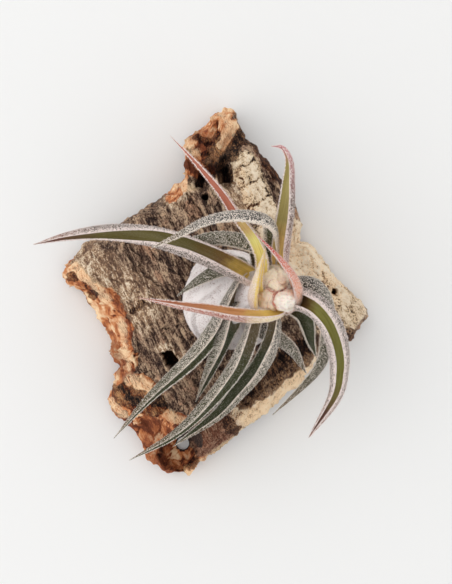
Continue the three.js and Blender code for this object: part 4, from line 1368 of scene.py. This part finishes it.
def cork_material(settings):
    material, tree, shader = new_material("cork_bark", 0.92)
    torn, pale, dark, depth, under, ruddy, cream, tan = (attribute(tree, name) for name in (
        "torn", "pale", "dark", "depth", "under", "ruddy", "cream", "tan"))
    fibre = grain(tree, 0.6, 1.5, 5.0, warp=0.6)
    strand = grain(tree, 0.5, 6, 4.0, seed=7.0)
    patch = grain(tree, 4.5, 9, 3.0, seed=4.0)
    fine = grain(tree, 0.42, 0.55, 3.0, seed=9.0)
    cork = grain(tree, 2.6, 5, 2.0, warp=1.2, seed=2.0)
    hair = grain(tree, 0.34, 3.4, 2.0, warp=1.5, seed=11.0)

    def tone(parts):
        """A tone round a half, from parts that are each a value round a half and its share."""
        total = 0.5
        for value, share in parts:
            rest = compute(tree, "SUBTRACT", total, share / 2)
            total = compute(tree, "MULTIPLY_ADD", value, share, rest)
        return total

    def crisp(mask):
        """The mask with a narrow border that the grain breaks up."""
        broken = compute(tree, "ADD", tone([(fibre, 0.8), (fine, 1.2)]), 0.5)
        return fade(tree, compute(tree, "MULTIPLY", mask, broken), 0.36, 0.6)

    torn, pale, dark = (crisp(mask) for mask in (torn, pale, dark))
    # worn, raw, chalky and golden take in the depth attribute, so their dark stops fall in the hollows as
    # painted shade and their light stops on what stands out as painted highlight.
    worn = tone([(fibre, 0.9), (strand, 0.7), (hair, 0.9), (fine, 0.9), (depth, 0.6), (patch, 0.6)])
    weathered = ramp(tree, worn, [
        (0.26, settings.weathered_dark), (0.47, settings.weathered_middle),
        (0.76, settings.weathered_light)])
    rosy = compute(tree, "MULTIPLY", fade(tree, patch, 0.5, 0.68), 0.4)
    weathered = blend(tree, rosy, weathered, settings.weathered_rosy, "OVERLAY")
    crumbly = ramp(tree, worn, [
        (0.3, settings.weathered_middle), (0.5, settings.weathered_tan), (0.74, settings.pale_light)])
    weathered = blend(tree, tan, weathered, crumbly)
    raw = ramp(tree, tone([(cork, 0.7), (fine, 0.3), (hair, 0.6), (depth, 1.1)]), [
        (0.16, settings.torn_dark), (0.34, settings.ruddy), (0.54, settings.torn_middle),
        (0.98, settings.torn_pale_and_highlight)])
    chalky = ramp(tree, tone([(fine, 1.8), (fibre, 0.9), (depth, 1.1), (patch, 0.7)]), [
        (0.1, settings.weathered_dark), (0.28, settings.pale_dark), (0.48, settings.pale_middle),
        (0.84, settings.pale_light)])
    golden = ramp(tree, tone([(fine, 1.9), (hair, 0.6), (depth, 1.1), (patch, 0.6)]), [
        (0.06, settings.torn_dark), (0.24, settings.weathered_tan), (0.46, settings.pale_golden),
        (0.78, settings.pale_light)])
    chalky = blend(tree, tan, chalky, golden)
    shade = blend(tree, torn, weathered, raw)
    shade = blend(tree, pale, shade, chalky)
    deep = blend(tree, fade(tree, hair, 0.36, 0.64), settings.torn_dark, settings.ruddy)
    shade = blend(tree, compute(tree, "MULTIPLY", ruddy, 0.5), shade, deep)
    # Painted highlight: the cream ledges are blended towards the torn cork's light colour.
    ledge = compute(tree, "MULTIPLY", cream, fade(tree, hair, 0.34, 0.56))
    shade = blend(tree, compute(tree, "MULTIPLY", ledge, 0.8), shade, settings.torn_pale_and_highlight)
    # Painted shade: where the dark mask lies, in shaded hollows, pits and under the splinter and leaves,
    # and over the dark stains, the colour is multiplied by a ramp from the shadow tint.
    shade_and_stain_tint = ramp(tree, tone([(fibre, 1), (fine, 1.2), (hair, 0.8), (depth, 0.3)]), [
        (0.4, settings.shadow), (0.9, settings.weathered_light)])
    shade = blend(tree, dark, shade, shade_and_stain_tint, "MULTIPLY")
    below = blend(tree, fine, settings.torn_dark, settings.under_side)
    shade = blend(tree, under, shade, below)
    tree.links.new(shade, shader.inputs["Base Color"])
    height = compute(tree, "ADD", fibre, compute(tree, "MULTIPLY", fine, 0.6))
    height = compute(tree, "MULTIPLY", height, compute(tree, "MULTIPLY_ADD", torn, -0.6, 1.0))
    bump(tree, shader, height, 0.5 * MM)
    return material


def frosted(tree, shader, skin, cover, settings, tint):
    """Lays frost over a skin colour and gives it its height."""
    inputs = {"Cover": cover, "Fleck": settings.fleck}
    frost = add(tree, "ShaderNodeGroup", inputs, node_tree=frost_group()).outputs
    tree.links.new(blend(tree, frost[0], skin, tint), shader.inputs["Base Color"])
    bump(tree, shader, frost[1], 0.1 * MM)


def sheath_material(settings):
    material, tree, shader = new_material("sheath", 0.75)
    lap = attribute(tree, "lap")
    worn = grain(tree, 2.5, 5, 4.0, seed=6.0)
    skin = blend(tree, fade(tree, lap, 0.0, 0.16), settings.sheath_shade, settings.sheath_skin)
    cover = compute(tree, "MULTIPLY_ADD", worn, 0.9, 0.32)
    cover = compute(tree, "ADD", cover, compute(tree, "MULTIPLY", fade(tree, lap, 0.8, 0.97), 0.3))
    frosted(tree, shader, skin, cover, settings, settings.sheath_frost)
    return material


def bud_material(dome, settings):
    material, tree, shader = new_material(dome["name"], 0.45 if dome["bare"] else 0.7)
    base = getattr(settings, dome["name"])
    blush = base if dome["bare"] else settings.bud_peach
    slit_colour = settings.bud_slit
    lap, slit = attribute(tree, "lap"), attribute(tree, "slit")
    mottled = grain(tree, 0.8, 1.4, 3.0, seed=8.0)
    under_fold = compute(tree, "MULTIPLY", fade(tree, lap, 0.14, 0.0), 0.7 * (1 - dome["bare"]))
    skin = blend(tree, fade(tree, mottled, 0.5, 0.7), base, blush)
    skin = blend(tree, under_fold, skin, slit_colour)
    worn = compute(tree, "ADD", slit, compute(tree, "MULTIPLY_ADD", mottled, 0.9, -0.45))
    in_slit = compute(tree, "MULTIPLY", fade(tree, worn, 0.45, 0.8), 0.75)
    skin = blend(tree, in_slit, skin, slit_colour)
    frosted(tree, shader, skin, 0.4 * (1 - dome["bare"]), settings, settings.bud_hair)
    shader.inputs["Subsurface Weight"].default_value = 0.15
    shader.inputs["Subsurface Scale"].default_value = 1.5 * MM
    return material


def leaf_material(name, finish, settings):
    if "leaf_" + name in bpy.data.materials:
        return bpy.data.materials["leaf_" + name]
    material, tree, shader = new_material("leaf_" + name, 0.55)
    along, across, channel = (attribute(tree, a) for a in ("along", "across", "channel"))
    blotches = clouds(tree, object_places(tree), 260.0, 2.0)
    shifted = compute(tree, "ADD", along, compute(tree, "MULTIPLY_ADD", blotches, 0.16, -0.08))
    sides = []
    for side in ("back", "channel"):
        stops = [(share, getattr(settings, shade)) for share, shade in finish[side]]
        sides.append(ramp(tree, shifted, stops))
    skin = blend(tree, channel, *sides)
    lines = add(tree, "ShaderNodeCombineXYZ", {
        0: compute(tree, "MULTIPLY", across, 9.0), 1: compute(tree, "MULTIPLY", along, 6.0), 2: channel})
    vein = clouds(tree, lines.outputs[0], 1.0, 3.0)
    skin = blend(tree, fade(tree, vein, 0.4, 0.75), skin, VEIN_TINT, "MULTIPLY")
    outer = compute(tree, "ABSOLUTE", across)
    channel_frost, near_root, near_tip = finish["frost"]
    inner_band = compute(tree, "MULTIPLY", fade(tree, outer, finish["band"], 1.0), 0.7)
    inner = compute(tree, "ADD", inner_band, channel_frost)
    back = between(tree, fade(tree, along, 0.15, 0.9), near_root, near_tip)
    if "edge" in finish:
        edge = fade(tree, outer, 0.72, 0.84)
        skin = blend(tree, edge, skin, getattr(settings, finish["edge"]))
        back = compute(tree, "SUBTRACT", back, compute(tree, "MULTIPLY", edge, 0.4))
    else:
        back = compute(tree, "MULTIPLY_ADD", fade(tree, outer, finish["band"] - 0.06, 1.0), 0.6, back)
    cover = between(tree, channel, back, inner)
    frosted(tree, shader, skin, cover, settings, getattr(settings, finish["tint"]))
    return material


def scale_material(name, tint):
    if name in bpy.data.materials:
        return bpy.data.materials[name]
    material, tree, shader = new_material(name, 0.55)
    uneven = clouds(tree, object_places(tree), 1600.0, 1.0)
    darker = tuple(0.78 * part for part in tint)
    shade = blend(tree, fade(tree, uneven, 0.35, 0.65), darker, tuple(tint))
    tree.links.new(shade, shader.inputs["Base Color"])
    return material


# Stage

def build_stage(settings):
    clear_selection()
    bpy.ops.mesh.primitive_plane_add(size=settings.floor_width)
    floor = bpy.context.active_object
    floor.name = "floor"
    material, tree, shader = new_material("pale_table", 0.8)
    cloudy = clouds(tree, object_places(tree), 4.0, 2.0)
    dull = tuple(0.97 * part for part in settings.floor_colour)
    shade = blend(tree, cloudy, tuple(settings.floor_colour), dull)
    tree.links.new(shade, shader.inputs["Base Color"])
    floor.data.materials.append(material)

    scene = bpy.context.scene
    world = bpy.data.worlds.new("soft surroundings")
    world.use_nodes = True
    background = world.node_tree.nodes["Background"]
    background.inputs["Color"].default_value = (*settings.sky_colour, 1)
    background.inputs["Strength"].default_value = settings.sky_strength
    scene.world = world
    scene.view_settings.view_transform = "Standard"

    light = bpy.data.lights.new("window", "AREA")
    light.shape = "SQUARE"
    light.size = settings.key_size
    light.energy = settings.key_energy
    window = bpy.data.objects.new("window", light)
    window.location = settings.key_place
    window.rotation_euler = (-window.location).to_track_quat("-Z", "Y").to_euler()
    scene.collection.objects.link(window)

    camera = bpy.data.objects.new("camera", bpy.data.cameras.new("camera"))
    camera.data.lens = settings.lens
    camera.data.clip_start = 0.01
    camera.location = settings.camera_place
    scene.collection.objects.link(camera)
    scene.camera = camera


# Operators

class AIRPLANT_OT_stage(bpy.types.Operator):
    """Sets the pale table, the soft light and the camera above"""
    bl_idname = "airplant.stage"
    bl_label = "Stage"

    def execute(self, context):
        build_stage(context.scene.airplant_stage)
        return {"FINISHED"}


class AIRPLANT_OT_bark(bpy.types.Operator):
    """Models the cork bark with its weathered, torn and pale faces"""
    bl_idname = "airplant.bark"
    bl_label = "Cork bark"

    def execute(self, context):
        bark = build_bark(context.scene.airplant_bark)
        if not bark.data.polygons:
            raise RuntimeError("the bark was cut away with its hole")
        return {"FINISHED"}


class AIRPLANT_OT_bulb(bpy.types.Operator):
    """Models the swollen base of overlapping sheaths, with its frost"""
    bl_idname = "airplant.bulb"
    bl_label = "Swollen base"

    def execute(self, context):
        build_bulb(context.scene.airplant_plant)
        return {"FINISHED"}


class AIRPLANT_OT_bud(bpy.types.Operator):
    """Models the bracts packed into the bud"""
    bl_idname = "airplant.bud"
    bl_label = "Bud"

    def execute(self, context):
        build_bud(context.scene.airplant_plant)
        return {"FINISHED"}


class AIRPLANT_OT_leaves(bpy.types.Operator):
    """Models every leaf with its silver scales"""
    bl_idname = "airplant.leaves"
    bl_label = "Leaves"

    def execute(self, context):
        for leaf in LEAVES:
            build_leaf(leaf, context.scene.airplant_plant)
        return {"FINISHED"}


class AIRPLANT_PT_panel(bpy.types.Panel):
    """Lists the pieces and their settings"""
    bl_idname = "AIRPLANT_PT_panel"
    bl_label = "Air plant"
    bl_space_type = "VIEW_3D"
    bl_region_type = "UI"
    bl_category = "Air plant"

    def draw(self, context):
        for operator in OPERATORS:
            self.layout.operator(operator.bl_idname)
        for group in SETTINGS:
            box = self.layout.box()
            settings = getattr(context.scene, group)
            for name in settings.bl_rna.properties.keys():
                if name not in ("rna_type", "name"):
                    box.prop(settings, name)


OPERATORS = [
    AIRPLANT_OT_stage, AIRPLANT_OT_bark, AIRPLANT_OT_bulb, AIRPLANT_OT_bud, AIRPLANT_OT_leaves,
]
SETTINGS = {
    "airplant_bark": BarkSettings, "airplant_plant": PlantSettings, "airplant_stage": StageSettings,
}


def register():
    for kind in [*SETTINGS.values(), *OPERATORS, AIRPLANT_PT_panel]:
        bpy.utils.register_class(kind)
    for name, kind in SETTINGS.items():
        setattr(bpy.types.Scene, name, PointerProperty(type=kind))


def unregister():
    for name in SETTINGS:
        delattr(bpy.types.Scene, name)
    for kind in [AIRPLANT_PT_panel, *reversed(OPERATORS), *reversed(SETTINGS.values())]:
        bpy.utils.unregister_class(kind)


def main():
    register()
    bpy.ops.airplant.stage()
    bpy.ops.airplant.bark()
    bpy.ops.airplant.bulb()
    bpy.ops.airplant.bud()
    bpy.ops.airplant.leaves()


if __name__ == "__main__":
    main()
